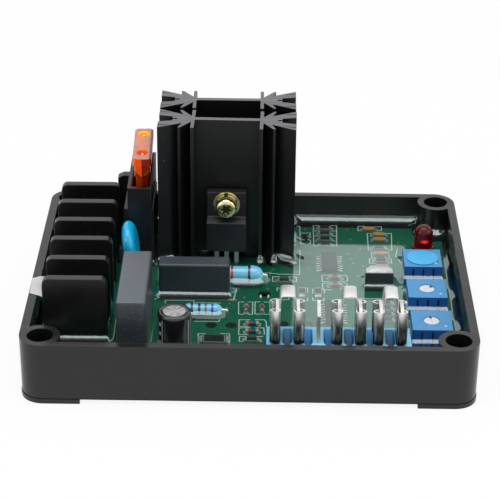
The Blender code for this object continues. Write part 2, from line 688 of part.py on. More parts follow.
def fuse_holder(mat):
    """The upright holder: a box open at the top on a wider base, with a lug at the rear."""
    half, end = HOLDER_WIDTH / 2, HOLDER_LENGTH / 2
    left, right = -half - HOLDER_BASE_LEFT, half + HOLDER_BASE_RIGHT
    obj = make("fuse_holder", prism(rectangle(HOLDER_WIDTH, HOLDER_LENGTH), 0.0, HOLDER_HEIGHT), mat)
    corner = 2 * (right - half) + HOLDER_WALL
    base = prism([(left, -end + SEAT), (right, -end + SEAT), (right, end - 3 * corner),
                  (half - HOLDER_WALL, end - SEAT), (left, end - SEAT)], 0.0, HOLDER_BASE_HEIGHT)
    lug_left, lug_right = -half - HOLDER_LUG_REACH, -half / 2
    top, slope = HOLDER_BASE_HEIGHT, HOLDER_LUG_CHAMFER
    lug = prism([(lug_left, 0.0), (lug_right, 0.0), (lug_right, top), (lug_left + 2 * slope, top),
                 (lug_left, top - slope)], end - HOLDER_LUG_DEPTH, end + HOLDER_LUG_DEPTH / 4, "Y")
    fuse(obj, [base, lug])
    room = block((-half + HOLDER_WALL, half - HOLDER_THIN_WALL),
                 (-end + HOLDER_WALL, end - HOLDER_WALL), (HOLDER_FLOOR, HOLDER_HEIGHT + CLEAR))
    tools = [room]
    tools += [prism(circle(LEAD_RADIUS + SEAT, LEAD_SIDES, spot), -CLEAR, HOLDER_FLOOR + CLEAR)
              for spot in blade_spots()]
    cut(obj, tools)
    place(obj, (HOLDER_X, HOLDER_Y, STAND))
    stand(obj, [(left - SEAT, -end - SEAT), (right + SEAT, -end - SEAT), (right + SEAT, end + SEAT),
                (left - SEAT, end + SEAT)])
    stand(obj, [(lug_left - SEAT, end - HOLDER_LUG_DEPTH - SEAT), (half, end - HOLDER_LUG_DEPTH - SEAT),
                (half, end + HOLDER_LUG_DEPTH), (lug_left - SEAT, end + HOLDER_LUG_DEPTH)])
    return obj


def blade_spots():
    """The middles of the two blades in the holder's own frame, turned with the fuse."""
    turn = math.radians(FUSE_TURN)
    return [(FUSE_SHIFT - i * BLADE_PITCH / 2 * math.sin(turn), i * BLADE_PITCH / 2 * math.cos(turn))
            for i in (-1, 1)]


def fuse_clip(name, spot, mat):
    """A spring clip of bent strip that grips one blade, with its board pin."""
    jaw = BLADE_THICKNESS / 2 + SHEET_GAP
    sheet = CLIP_SHEET
    low, high = HOLDER_FLOOR + SEAT, HOLDER_FLOOR + CLIP_HEIGHT
    half = [(jaw + sheet / 2, low + sheet / 2), (jaw + sheet / 2, high - CLIP_FLARE),
            (jaw + sheet / 2 + CLIP_FLARE, high)]
    line = [(-x, z) for x, z in reversed(half)] + half
    width = BLADE_WIDTH - 2 * SEAT
    obj = make(name, prism(thick_line(line, sheet), -width / 2, width / 2, "Y"), mat)
    fuse(obj, [prism(circle(LEAD_RADIUS, LEAD_SIDES), BOARD_BOTTOM - STAND, low + sheet / 2)])
    place(obj, (HOLDER_X + spot[0], HOLDER_Y + spot[1], STAND), None, math.radians(FUSE_TURN))
    stand(obj, None, [(0.0, 0.0)])
    return obj


def fuse_place():
    return HOLDER_X + FUSE_SHIFT, HOLDER_Y, STAND


def fuse_body(mat):
    """The clear plastic body: a flange over a stepped stem, slotted for the element."""
    neck_low = FUSE_TOP - FUSE_FLANGE_HEIGHT - FUSE_NECK_HEIGHT
    levels = ((FUSE_TOP - FUSE_FLANGE_HEIGHT, FUSE_TOP, FUSE_FLANGE_WIDTH, FUSE_LENGTH, 4),
              (neck_low, FUSE_TOP - FUSE_FLANGE_HEIGHT / 2, FUSE_NECK_WIDTH,
               (FUSE_LENGTH + 2 * FUSE_BODY_LENGTH) / 3, 6),
              (FUSE_TOP - FUSE_BODY_HEIGHT, neck_low + FUSE_NECK_HEIGHT / 2, FUSE_BODY_WIDTH,
               FUSE_BODY_LENGTH, 8))
    solids = [prism(rounded_rectangle(width, length, width / part, 3), low, high)
              for low, high, width, length, part in levels]
    obj = make("fuse_body", solids[0], mat)
    fuse(obj, [solids[1]])
    fuse(obj, [solids[2]])
    slot = (BLADE_THICKNESS + 2 * SEAT, BLADE_PITCH + BLADE_WIDTH + 2 * SEAT)
    slot_top = FUSE_TOP - FUSE_FLANGE_HEIGHT / 2
    tools = [prism(rectangle(*slot), 0.0, slot_top)]
    for side in (-1, 1):
        eye = [(x, y * 1.1 + side * FUSE_EYE_PITCH / 2) for x, y in circle(FUSE_EYE_RADIUS, 10)]
        tools.append(prism(eye, slot_top - CLEAR, FUSE_TOP + CLEAR))
    cut(obj, tools)
    return place(obj, fuse_place(), None, math.radians(FUSE_TURN))


def fuse_element(mat):
    """The stamped blades with the thin link that melts between them."""
    top = FUSE_TOP - FUSE_FLANGE_HEIGHT / 2 - SEAT
    low = top - BLADE_HEIGHT
    inner, outer = (BLADE_PITCH - BLADE_WIDTH) / 2, (BLADE_PITCH + BLADE_WIDTH) / 2
    link = top - MELT_LINK_DROP
    point = BLADE_POINT
    half = [(inner, link - MELT_LINK_WIDTH / 2), (inner, low + point), (inner + point, low),
            (outer - point, low), (outer, low + point), (outer, top), (inner, top),
            (inner, link + MELT_LINK_WIDTH / 2)]
    outline = half + [(-y, z) for y, z in reversed(half)]
    obj = make("fuse_element", prism(outline, -BLADE_THICKNESS / 2, BLADE_THICKNESS / 2, "X"), mat)
    return place(obj, fuse_place(), None, math.radians(FUSE_TURN))


def sink_outline():
    """The fish-bone section: web, cross plates, barbed trunks and forked tails."""
    plate = CHANNEL_WIDTH / 2
    trunk = plate + CROSS_PLATE
    barb = plate + BARB_REACH
    tail = SINK_WIDTH / 2
    notch_x = barb - BARB_TIP - FORK_SLOT
    notch_y = TRUNK_HALF * 1.5
    fork = SINK_DEPTH / 2 - FORK_THICKNESS
    root_x = (barb + tail) / 2 - FORK_SLOT / 2
    root_y = notch_y + (fork - notch_y) * 0.72
    hollow_x = tail - HOLLOW_DEPTH
    neck = HOLLOW_SLIT / 2
    upper = [(plate, CROSS_DEPTH / 2), (trunk, CROSS_DEPTH / 2), (trunk, TRUNK_HALF),
             (barb - BARB_TIP, BARB_DEPTH / 2), (barb, BARB_DEPTH / 2), (notch_x, notch_y),
             (tail, SINK_DEPTH / 2), (tail, fork), (root_x, root_y), (root_x, root_y - FORK_SLOT / 2),
             (tail, fork - FORK_SLOT), (tail, HOLLOW_HALF), (hollow_x, HOLLOW_HALF * 0.62),
             (hollow_x, neck), (hollow_x - HOLLOW_SLIT_DEPTH, neck)]
    lower = [(x, -y) for x, y in reversed(upper)]
    web = WEB_SHIFT + WEB_THICKNESS / 2, WEB_SHIFT - WEB_THICKNESS / 2
    right = [(plate, web[0])] + upper + lower + [(plate, web[1])]
    return right + [(-x, y) for x, y in reversed(right)]


def heat_sink(name, centre, mat):
    """A length of the extrusion, bored through its web, on two pins in its trunks."""
    obj = make(name, prism(sink_outline(), 0.0, SINK_HEIGHT), mat)
    bore = circle(BOLT_RADIUS + SEAT, 12, (0.0, DEVICE_LIFT + BOLT_HEIGHT))
    cut(obj, [prism(bore, -SINK_DEPTH / 4, SINK_DEPTH / 4, "Y")])
    pin_x = (CHANNEL_WIDTH / 2 + CROSS_PLATE + CHANNEL_WIDTH / 2 + BARB_REACH) / 2
    pins = [(side * pin_x, 0.0) for side in (-1, 1)]
    fuse(obj, [prism(circle(SINK_PIN_RADIUS, LEAD_SIDES, pin), BOARD_BOTTOM - STAND, CLEAR) for pin in pins])
    obj.parent = centre
    bpy.context.view_layer.update()
    stand(obj, None, pins, SINK_PIN_RADIUS)
    return obj


def sink_pockets():
    """The resin stops round the fins but fills the channels that the devices stand in."""
    sway = math.tan(math.radians(abs(SINK_TWIST))) * SINK_WIDTH / 2
    plate = CHANNEL_WIDTH / 2 - SEAT
    reach = SINK_WIDTH / 2 + SEAT
    low = FRONT_SINK_Y - SINK_DEPTH / 2 - sway - SEAT
    high = INNER_Y + CLEAR
    for side in (-1, 1):
        middle = SINK_X + side * (plate + reach) / 2
        resin_pockets.append(rectangle(reach - plate, high - low, (middle, (low + high) / 2)))
    web_low = FRONT_SINK_Y + WEB_SHIFT - WEB_THICKNESS / 2 - sway / 2 - SEAT
    web_high = REAR_SINK_Y + WEB_SHIFT + WEB_THICKNESS / 2 + SEAT
    resin_pockets.append(rectangle(2 * plate + CLEAR, web_high - web_low,
                                   (SINK_X, (web_low + web_high) / 2)))


def power_device(name, mount, mat):
    """An isolated power package: thick body, thin bored tab and three flat leads."""
    profile = [(0.0, 0.0), (-DEVICE_THICKNESS, 0.0),
               (-DEVICE_THICKNESS, DEVICE_BODY_HEIGHT - DEVICE_SHOULDER),
               (-DEVICE_TAB, DEVICE_BODY_HEIGHT), (-DEVICE_TAB, DEVICE_HEIGHT), (0.0, DEVICE_HEIGHT)]
    half = DEVICE_WIDTH / 2
    obj = make(name, prism(profile, -half, half, "X"), mat)
    soften(obj, DEVICE_EDGE, 1)
    lead_y = -DEVICE_TAB + DEVICE_LEAD_THICKNESS
    spots = [(i * DEVICE_LEAD_PITCH, lead_y) for i in (-1, 0, 1)]
    low = BOARD_BOTTOM - STAND - DEVICE_LIFT
    fuse(obj, [prism(rectangle(DEVICE_LEAD_WIDTH, DEVICE_LEAD_THICKNESS, spot), low, CLEAR)
               for spot in spots])
    bore = circle(BOLT_RADIUS + SEAT, 12, (0.0, BOLT_HEIGHT))
    cut(obj, [prism(bore, -DEVICE_THICKNESS - CLEAR, CLEAR, "Y")])
    place(obj, (0.0, -SEAT, 0.0), mount)
    stand(obj, None, spots, DEVICE_LEAD_WIDTH / 2)
    for spot in spots:
        stand(obj, rectangle(DEVICE_LEAD_WIDTH + 2 * SEAT, DEVICE_LEAD_THICKNESS + 2 * SEAT, spot))
    return obj


def bolt_set(prefix, mount, mat):
    """Flat washer, split spring washer and pan-head bolt, in that order from the tab."""
    bore = BOLT_RADIUS + SEAT
    seat = -SEAT - DEVICE_TAB - SEAT
    flat = ring_solid(FLAT_WASHER_RADIUS, bore, seat - FLAT_WASHER_THICKNESS, seat)
    place(make(prefix + "_flat_washer", flat, mat), (0.0, 0.0, BOLT_HEIGHT), mount)
    seat -= FLAT_WASHER_THICKNESS + SEAT
    line = circle((SPRING_WASHER_RADIUS + bore) / 2, 14, (0.0, 0.0), math.radians(100.0),
                  math.radians(345.0))
    split = prism(thick_line(line, SPRING_WASHER_RADIUS - bore), seat - SPRING_WASHER_THICKNESS,
                  seat, "Y")
    place(make(prefix + "_spring_washer", split, mat), (0.0, 0.0, BOLT_HEIGHT), mount)
    seat -= SPRING_WASHER_THICKNESS + SEAT
    head, radius = BOLT_HEAD_RADIUS, BOLT_RADIUS
    front = seat - BOLT_HEAD_HEIGHT
    end = WEB_THICKNESS + BOLT_REACH
    profile = [(0.0, front), (head * 0.55, front), (head * 0.85, front + BOLT_HEAD_HEIGHT * 0.18),
               (head, front + BOLT_HEAD_HEIGHT * 0.45), (head, seat), (radius, seat), (radius, end), (0.0, end)]
    obj = make(prefix + "_bolt", turned(profile, 16, "Y"), mat)
    star = [(r * math.cos(math.pi * i / 6), r * math.sin(math.pi * i / 6))
            for i, r in enumerate([BOLT_STAR_RADIUS, BOLT_STAR_WAIST] * 6)]
    cut(obj, [prism(star, front - CLEAR, front + BOLT_HEAD_HEIGHT / 2, "Y")])
    return place(obj, (0.0, 0.0, BOLT_HEIGHT), mount)


def ring_solid(outer, inner, low, high, steps=20):
    """A flat ring about Y between two planes."""
    verts, faces = [], []
    for radius, y in ((outer, low), (outer, high), (inner, high), (inner, low)):
        verts += [(x, y, z) for x, z in circle(radius, steps)]
    for band in range(4):
        a, b = band * steps, (band + 1) % 4 * steps
        for i in range(steps):
            j = (i + 1) % steps
            faces.append((a + i, a + j, b + j, b + i))
    return verts, faces


def sink_assembly(paint):
    """Two identical sinks one behind the other, each with a device bolted to its web."""
    sides = (("front", FRONT_SINK_Y, math.radians(SINK_TWIST), "power_transistor", -1),
             ("rear", REAR_SINK_Y, 0.0, "power_diode", 1))
    for name, y, twist, device, face in sides:
        centre = anchor(f"sink_{name}_place", (SINK_X, y, STAND), None, twist)
        heat_sink(f"heat_sink_{name}", centre, paint["anodised"])
        web_face = WEB_SHIFT + face * WEB_THICKNESS / 2
        mount = anchor(f"{device}_place", (0.0, web_face, DEVICE_LIFT), centre,
                       0.0 if face < 0 else math.pi)
        power_device(device, mount, paint["package"])
        bolt_set(name, mount, paint["yellow_zinc"])
    sink_pockets()


def film_capacitor(name, size, centre, pitch, along, mat):
    """A potted box with softened edges on two leads."""
    obj = make(name, prism(rectangle(size[0], size[1]), 0.0, size[2]), mat)
    soften(obj, FILM_EDGE)
    step = Vector(along) * pitch / 2
    spots = [(-step.x, -step.y), (step.x, step.y)]
    fuse(obj, straight_leads(spots))
    place(obj, (*centre, STAND))
    stand(obj, rectangle(size[0] + 2 * SEAT, size[1] + 2 * SEAT), spots)
    return obj


def electrolytic_capacitor(mat):
    """A crimped can in its sleeve, with a cross-scored vent on top."""
    r, h = CAN_RADIUS, CAN_HEIGHT
    groove, edge, vent = CAN_GROOVE_HEIGHT, CAN_EDGE, CAN_VENT_DEPTH
    profile = [(0.0, 0.0), (r - edge / 2, 0.0), (r, edge / 2), (r, groove - edge * 0.6),
               (r - CAN_GROOVE_DEPTH, groove), (r, groove + edge * 0.6), (r, h - edge),
               (r - edge * 0.3, h - edge * 0.3), (r - edge, h), (CAN_VENT_RADIUS + vent / 2, h),
               (CAN_VENT_RADIUS, h - vent), (0.0, h - vent)]
    obj = make("electrolytic_capacitor", turned(profile, 20), mat)
    score, deep = CAN_SCORE, 2 * CAN_VENT_DEPTH
    reach = CAN_VENT_RADIUS * 0.85
    cut(obj, [block((-reach, reach), (-score / 2, score / 2), (h - deep, h + CLEAR)),
              block((-score / 2, score / 2), (-reach, reach), (h - deep, h + 2 * CLEAR))])
    spots = [(0.0, i * CAN_LEAD_PITCH / 2) for i in (-1, 1)]
    fuse(obj, straight_leads(spots))
    place(obj, (*CAN_PLACE, STAND))
    stand(obj, circle(CAN_RADIUS + 2 * SEAT, 16), spots)
    return obj


def varistor(mat):
    """A coated disc with a rounded rim, leaning over on its two leads."""
    r, half = VARISTOR_RADIUS, VARISTOR_THICKNESS / 2
    rim = circle(half, 4, (r - half, 0.0), -math.pi / 2, math.pi)
    profile = [(0.0, -half)] + rim + [(0.0, half)]
    lean = Matrix.Rotation(math.radians(-VARISTOR_LEAN), 3, "Y")
    verts, faces = turned(profile, 20, "X")
    verts = [tuple(lean @ Vector(v) + Vector((0.0, 0.0, VARISTOR_LIFT))) for v in verts]
    obj = make("varistor", (verts, faces), mat, 40.0)
    drop = VARISTOR_RADIUS * 0.65
    x = math.tan(math.radians(VARISTOR_LEAN)) * drop
    spots = [(x, i * VARISTOR_LEAD_PITCH / 2) for i in (-1, 1)]
    fuse(obj, straight_leads(spots, LEAD_RADIUS, VARISTOR_LIFT - drop + CLEAR / 4))
    front = HOLDER_Y - HOLDER_LENGTH / 2
    place(obj, (VARISTOR_X, front - VARISTOR_HOLDER_GAP - VARISTOR_RADIUS, STAND))
    stand(obj, None, spots)
    for spot in spots:
        stand(obj, circle(LEAD_RADIUS + SEAT, LEAD_SIDES, spot))
    return obj


def axial_resistor(name, size, centre, mat):
    """A coated body with swollen ends on leads bent down at both sides."""
    length, radius, lead = size
    half, waist = length / 2, radius * 0.92
    height = radius + RESISTOR_LIFT
    cap = radius * 1.05
    profile = [(0.0, -half), (LEAD_RADIUS * 1.4, -half), (radius * 0.82, -half + cap * 0.45),
               (radius, -half + cap), (radius, -half + cap * 1.5), (waist, -half + cap * 1.9)]
    profile += [(r, -h) for r, h in reversed(profile)]
    obj = make(name, turned(profile, 16, "X", (0.0, 0.0, height)), mat, 45.0)
    reach, bend = half + lead, RESISTOR_LEAD_BEND
    for side in (-1, 1):
        path = [(side * (half - CLEAR), 0.0, height), (side * (reach - bend), 0.0, height),
                (side * reach, 0.0, height - bend), (side * reach, 0.0, BOARD_BOTTOM - STAND)]
        fuse(obj, [wire(path, LEAD_RADIUS)])
    spots = [(side * reach, 0.0) for side in (-1, 1)]
    place(obj, (*centre, STAND))
    stand(obj, None, spots)
    for spot in spots:
        stand(obj, circle(LEAD_RADIUS + SEAT, LEAD_SIDES, spot))
    stand(obj, rectangle(length + 2 * SEAT, 2 * radius))
    return obj


def trimmer_centre(index):
    x = INNER_X - TRIMMER_SETBACK - TRIMMER_SIDE / 2
    return x, TRIMMER_MIDDLE_Y + (1 - index) * TRIMMER_PITCH, STAND


def trimmer_body(index, mat):
    """A square trimmer body with a round recess for its rotor and grooved front."""
    half = TRIMMER_SIDE / 2
    obj = make(f"trimmer_body_{index + 1}",
               prism(rectangle(TRIMMER_SIDE, TRIMMER_SIDE), 0.0, TRIMMER_HEIGHT), mat)
    tools = [prism(circle(ROTOR_RADIUS + SEAT, 20), TRIMMER_HEIGHT - ROTOR_DEPTH - SEAT,
                   TRIMMER_HEIGHT + CLEAR)]
    for i in (-1, 0, 1):
        tools.append(block((i * TRIMMER_LEAD_PITCH - TRIMMER_GROOVE / 2,
                            i * TRIMMER_LEAD_PITCH + TRIMMER_GROOVE / 2),
                           (-half - CLEAR, -half + TRIMMER_GROOVE), (-CLEAR, TRIMMER_HEIGHT * 0.85)))
    cut(obj, tools)
    spots = [(i * TRIMMER_LEAD_PITCH, i * i * TRIMMER_LEAD_PITCH - half / 2) for i in (-1, 0, 1)]
    fuse(obj, straight_leads(spots))
    place(obj, trimmer_centre(index))
    stand(obj, rectangle(TRIMMER_SIDE + 2 * SEAT, TRIMMER_SIDE + 2 * SEAT), spots)
    return obj


def trimmer_rotor(index, mat):
    """A slotted rotor about its own axis. The rear one carries a round dial."""
    low, top = -ROTOR_DEPTH, -ROTOR_SINK
    if index == 0:
        dial = SEAT + DIAL_THICKNESS
        profile = [(0.0, low), (ROTOR_RADIUS, low), (ROTOR_RADIUS, SEAT), (DIAL_RADIUS, SEAT),
                   (DIAL_RADIUS, dial), (0.0, dial)]
        top = dial
    else:
        profile = [(0.0, low), (ROTOR_RADIUS, low), (ROTOR_RADIUS, top), (0.0, top)]
    obj = make(f"trimmer_rotor_{index + 1}", turned(profile, 20), mat)
    reach = (DIAL_RADIUS if index == 0 else ROTOR_RADIUS) * 0.8
    slot = block((-ROTOR_SLOT / 2, ROTOR_SLOT / 2), (reach * 0.45, reach), (top - ROTOR_SLOT_DEPTH, CLEAR))
    cut(obj, [slot])
    centre = Vector(trimmer_centre(index)) + Vector((0.0, 0.0, TRIMMER_HEIGHT))
    return place(obj, centre)


def indicator_lamp(mat):
    """A domed lamp with a flange at its foot on two leads."""
    r, h = LAMP_RADIUS, LAMP_HEIGHT
    dome = circle(r, 5, (0.0, h - r), 0.0, math.pi / 2)[:-1]
    profile = [(0.0, 0.0), (LAMP_FLANGE_RADIUS, 0.0), (LAMP_FLANGE_RADIUS, LAMP_FLANGE_HEIGHT),
               (r, LAMP_FLANGE_HEIGHT)]
    profile += dome + [(0.0, h)]
    obj = make("indicator_lamp", turned(profile, 20), mat, 40.0)
    spots = [(i * LAMP_LEAD_PITCH / 2, 0.0) for i in (-1, 1)]
    fuse(obj, straight_leads(spots, LEAD_RADIUS, CLEAR / 2))
    place(obj, (INNER_X - LAMP_SETBACK_X, INNER_Y - LAMP_SETBACK_Y, STAND))
    stand(obj, circle(LAMP_FLANGE_RADIUS + 2 * SEAT, 16), spots)
    return obj


def tab_spots():
    return [(i - (TAB_COUNT - 1) / 2) * TAB_PITCH for i in range(TAB_COUNT)]


def tab_row_place(x=0.0):
    return TAB_ROW_X + x, -INNER_Y + TAB_SETBACK, STAND


def tab_base(mat):
    """The tab strip's base: slotted for each tab and scooped out between them."""
    obj = make("tab_base", prism(rectangle(TAB_BASE_LENGTH, TAB_BASE_DEPTH), 0.0, TAB_BASE_HEIGHT), mat)
    scoop_width = TAB_PITCH - TAB_THICKNESS - 2 * SEAT - SCOOP_RIB
    half = TAB_BASE_DEPTH / 2
    tools = []
    for x in tab_spots():
        tools.append(prism(rectangle(TAB_THICKNESS + 2 * SEAT, TAB_DEPTH + 2 * SEAT, (x, 0.0)),
                           -CLEAR, TAB_BASE_HEIGHT + CLEAR))
    for left in tab_spots()[:-1]:
        middle = left + TAB_PITCH / 2
        profile = [(-half - CLEAR, SCOOP_LOW), (half - SCOOP_RIB, SCOOP_HIGH),
                   (half - SCOOP_RIB, TAB_BASE_HEIGHT + CLEAR), (-half - CLEAR, TAB_BASE_HEIGHT + CLEAR)]
        tools.append(prism(profile, middle - scoop_width / 2, middle + scoop_width / 2, "X"))
    cut(obj, tools)
    place(obj, tab_row_place())
    stand(obj, rectangle(TAB_BASE_LENGTH + 2 * SEAT, TAB_BASE_DEPTH + 2 * SEAT))
    return obj


def spade_tab(index, x, mat):
    """A stamped tab with a tapered tip, a detent hole and two legs in the board."""
    half, leg = TAB_DEPTH / 2, TAB_LEG_WIDTH
    taper = TAB_TAPER
    side = [(half - leg, SEAT), (half - leg, BOARD_BOTTOM - STAND), (half, BOARD_BOTTOM - STAND),
            (half, TAB_TOP - 1.6 * taper), (half - taper, TAB_TOP)]
    outline = side + [(-y, z) for y, z in reversed(side)]
    obj = make(f"spade_tab_{index + 1}", prism(outline, -TAB_THICKNESS / 2, TAB_THICKNESS / 2, "X"), mat)
    detent = circle(TAB_DETENT_RADIUS, 10, (0.0, TAB_TOP - TAB_DETENT_DROP))
    cut(obj, [prism(detent, -CLEAR, CLEAR, "X")])
    place(obj, tab_row_place(x))
    spots = [(0.0, i * (half - leg / 2)) for i in (-1, 1)]
    stand(obj, None, spots, leg / 2)
    return obj


def receptacle(side):
    """One rolled spade receptacle: a flat plate whose two edges curl round the tab."""
    plate = side * (TAB_PITCH / 2 - TAB_THICKNESS / 2 - SHEET_GAP - LINK_SHEET / 2)
    roll = LINK_ROLL - LINK_SHEET / 2
    middle = LINK_DEPTH / 2 - LINK_ROLL
    curl = circle(roll, 8, (roll, middle), math.pi, -math.radians(235.0))
    line = [(x, -y) for x, y in reversed(curl)] + curl
    line = [(plate + side * x, y) for x, y in line]
    return prism(thick_line(line, LINK_SHEET), LINK_BOTTOM, LINK_SHOULDER)


def tab_link(name, pair, mat):
    """A bright link: two receptacles joined by a crown strip of the same sheet."""
    spots = tab_spots()
    middle = (spots[pair[0]] + spots[pair[1]]) / 2
    obj = make(name, receptacle(-1), mat, 40.0)
    fuse(obj, [receptacle(1)])
    plate = TAB_PITCH / 2 - TAB_THICKNESS / 2 - SHEET_GAP - LINK_SHEET / 2
    bend = LINK_BEND
    top = LINK_CROWN - LINK_SHEET / 2
    half = [(0.0, top), (plate - bend, top), (plate, top - bend), (plate, LINK_SHOULDER - CLEAR)]
    line = [(-x, z) for x, z in reversed(half[1:])] + half[1:]
    crown = prism(thick_line(line, LINK_SHEET), -LINK_CROWN_DEPTH / 2, LINK_CROWN_DEPTH / 2, "Y")
    fuse(obj, [crown])
    return place(obj, tab_row_place(middle))


def logic_chip(name, per_side, centre, mat):
    """A small-outline package with its gull-wing pins."""
    length = (per_side - 1) * PIN_PITCH + 2 * PACKAGE_END
    half, span = PACKAGE_WIDTH / 2, PACKAGE_SPAN / 2
    obj = make(name, prism(rectangle(PACKAGE_WIDTH, length), PACKAGE_GAP, PACKAGE_HEIGHT), mat)
    soften(obj, PACKAGE_EDGE, 1)
    line = [(half - PIN_KNEE, PACKAGE_HEIGHT / 2), (half + PIN_SHOULDER, PACKAGE_HEIGHT / 2),
            (span, PIN_SHEET / 2)]
    pins = []
    for i in range(per_side):
        middle = (i - (per_side - 1) / 2) * PIN_PITCH
        for side in (-1, 1):
            outline = thick_line([(side * a, b) for a, b in line], PIN_SHEET)
            pins.append(prism(outline, middle - PIN_WIDTH / 2, middle + PIN_WIDTH / 2, "Y"))
    fuse(obj, pins)
    place(obj, (*centre, STAND))
    stand(obj, rectangle(PACKAGE_SPAN + 2 * SEAT, length + 2 * SEAT))
    return obj


def pass_transistor(mat):
    """A D-shaped package: flat face to the front, round back."""
    half, deep = PASS_DEVICE_WIDTH / 2, PASS_DEVICE_DEPTH
    flat = deep * 0.45
    back = [(half * math.cos(math.pi * i / 12), -deep / 2 + flat + (deep - flat) * math.sin(math.pi * i / 12))
            for i in range(13)]
    outline = [(-half, -deep / 2), (half, -deep / 2)] + back
    obj = make("pass_transistor", prism(outline, 0.0, PASS_DEVICE_HEIGHT), mat)
    place(obj, (*PASS_DEVICE_PLACE, STAND))
    stand(obj, rectangle(PASS_DEVICE_WIDTH + 2 * SEAT, PASS_DEVICE_DEPTH + 2 * SEAT))
    return obj


def palette():
    """The plain colours of the pieces."""
    return {
        "moulding": finish("black_moulding", (0.03, 0.03, 0.031), 0.55),
        "board": finish("green_board", (0.005, 0.09, 0.04), 0.4),
        "resin": finish("clear_resin", (0.25, 0.45, 0.38), 0.1, 0.0, 0.35),
        "black": finish("black_plastic", (0.012, 0.011, 0.011), 0.6),
        "tin": finish("bright_tin", (0.75, 0.74, 0.7), 0.25, 1.0),
        "zinc": finish("terminal_zinc", (0.6, 0.6, 0.58), 0.35, 1.0),
        "yellow_zinc": finish("yellow_zinc", (0.7, 0.6, 0.3), 0.3, 1.0),
        "fuse": finish("orange_fuse", (0.8, 0.12, 0.01), 0.15, 0.0, 0.7),
        "anodised": finish("black_anodised", (0.02, 0.02, 0.021), 0.45, 0.6),
        "package": finish("black_package", (0.016, 0.017, 0.02), 0.5),
        "grey_case": finish("grey_case", (0.09, 0.105, 0.12), 0.4),
        "dark_case": finish("dark_case", (0.035, 0.045, 0.055), 0.35),
        "sleeve": finish("black_sleeve", (0.015, 0.015, 0.016), 0.3),
        "disc": finish("blue_disc", (0.02, 0.38, 0.75), 0.2),
        "resistor": finish("pale_blue_coat", (0.13, 0.5, 0.75), 0.25),
        "trimmer": finish("blue_trimmer", (0.03, 0.15, 0.55), 0.4),
        "rotor": finish("white_rotor", (0.75, 0.75, 0.75), 0.5),
        "dial": finish("pale_blue_dial", (0.1, 0.5, 0.85), 0.4),
        "lamp": finish("red_lamp", (0.25, 0.005, 0.008), 0.1, 0.0, 0.85),
        "tab_base": finish("pale_blue_base", (0.1, 0.42, 0.75), 0.35),
    }


def build():
    clear_objects()
    paint = palette()
    tray(paint["moulding"])
    centre = anchor("terminal_block_place", block_place(), None, math.radians(BLOCK_TURN))
    terminal_block(centre, paint["black"])
    for index, y in enumerate(bay_middles(), 1):
        terminal_contact(index, centre, y, paint["zinc"])
        terminal_screw(index, centre, y, paint["zinc"])
    fuse_holder(paint["black"])
    for name, spot in zip(("fuse_clip_front", "fuse_clip_rear"), blade_spots()):
        fuse_clip(name, spot, paint["tin"])
    fuse_body(paint["fuse"])
    fuse_element(paint["tin"])
    sink_assembly(paint)
    film_capacitor("film_capacitor_large", LARGE_FILM_SIZE, LARGE_FILM_PLACE, LARGE_FILM_PITCH,
                   (0.0, 1.0), paint["grey_case"])
    film_capacitor("film_capacitor_small", SMALL_FILM_SIZE, SMALL_FILM_PLACE, SMALL_FILM_PITCH,
                   (1.0, 0.0), paint["dark_case"])
    electrolytic_capacitor(paint["sleeve"])
    varistor(paint["disc"])
    axial_resistor("resistor_large", LARGE_RESISTOR, LARGE_RESISTOR_PLACE, paint["resistor"])
    axial_resistor("resistor_small", SMALL_RESISTOR, SMALL_RESISTOR_PLACE, paint["resistor"])
    for index in range(3):
        trimmer_body(index, paint["trimmer"])
        trimmer_rotor(index, paint["dial"] if index == 0 else paint["rotor"])
    indicator_lamp(paint["lamp"])
    tab_base(paint["tab_base"])
    for index, x in enumerate(tab_spots()):
        spade_tab(index, x, paint["tin"])
    for index, pair in enumerate(LINKED_TABS, 1):
        tab_link(f"tab_link_{index}", pair, paint["tin"])
    logic_chip("logic_chip_rear", REAR_PINS, REAR_CHIP_PLACE, paint["package"])
    logic_chip("logic_chip_front", FRONT_PINS, FRONT_CHIP_PLACE, paint["package"])
    pass_transistor(paint["package"])
    circuit_board(paint["board"])
    potting_resin(paint["resin"])


build()
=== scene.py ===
import bmesh
import bpy
import numpy as np
from mathutils import Matrix


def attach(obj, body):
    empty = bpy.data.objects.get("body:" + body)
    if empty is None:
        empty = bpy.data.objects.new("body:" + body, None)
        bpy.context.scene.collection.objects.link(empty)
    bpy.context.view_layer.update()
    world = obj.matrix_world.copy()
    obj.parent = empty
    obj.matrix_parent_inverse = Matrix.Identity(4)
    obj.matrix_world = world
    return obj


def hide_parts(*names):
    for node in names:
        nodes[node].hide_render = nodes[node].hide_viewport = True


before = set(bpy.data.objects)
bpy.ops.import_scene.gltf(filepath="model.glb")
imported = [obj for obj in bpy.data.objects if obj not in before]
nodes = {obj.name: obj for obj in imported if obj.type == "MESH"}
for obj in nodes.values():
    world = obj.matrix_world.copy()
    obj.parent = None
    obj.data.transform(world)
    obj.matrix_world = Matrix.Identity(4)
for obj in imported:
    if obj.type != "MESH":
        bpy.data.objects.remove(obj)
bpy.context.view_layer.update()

MM = 0.001
TURN = 2 * np.pi
BODY = "regulator"

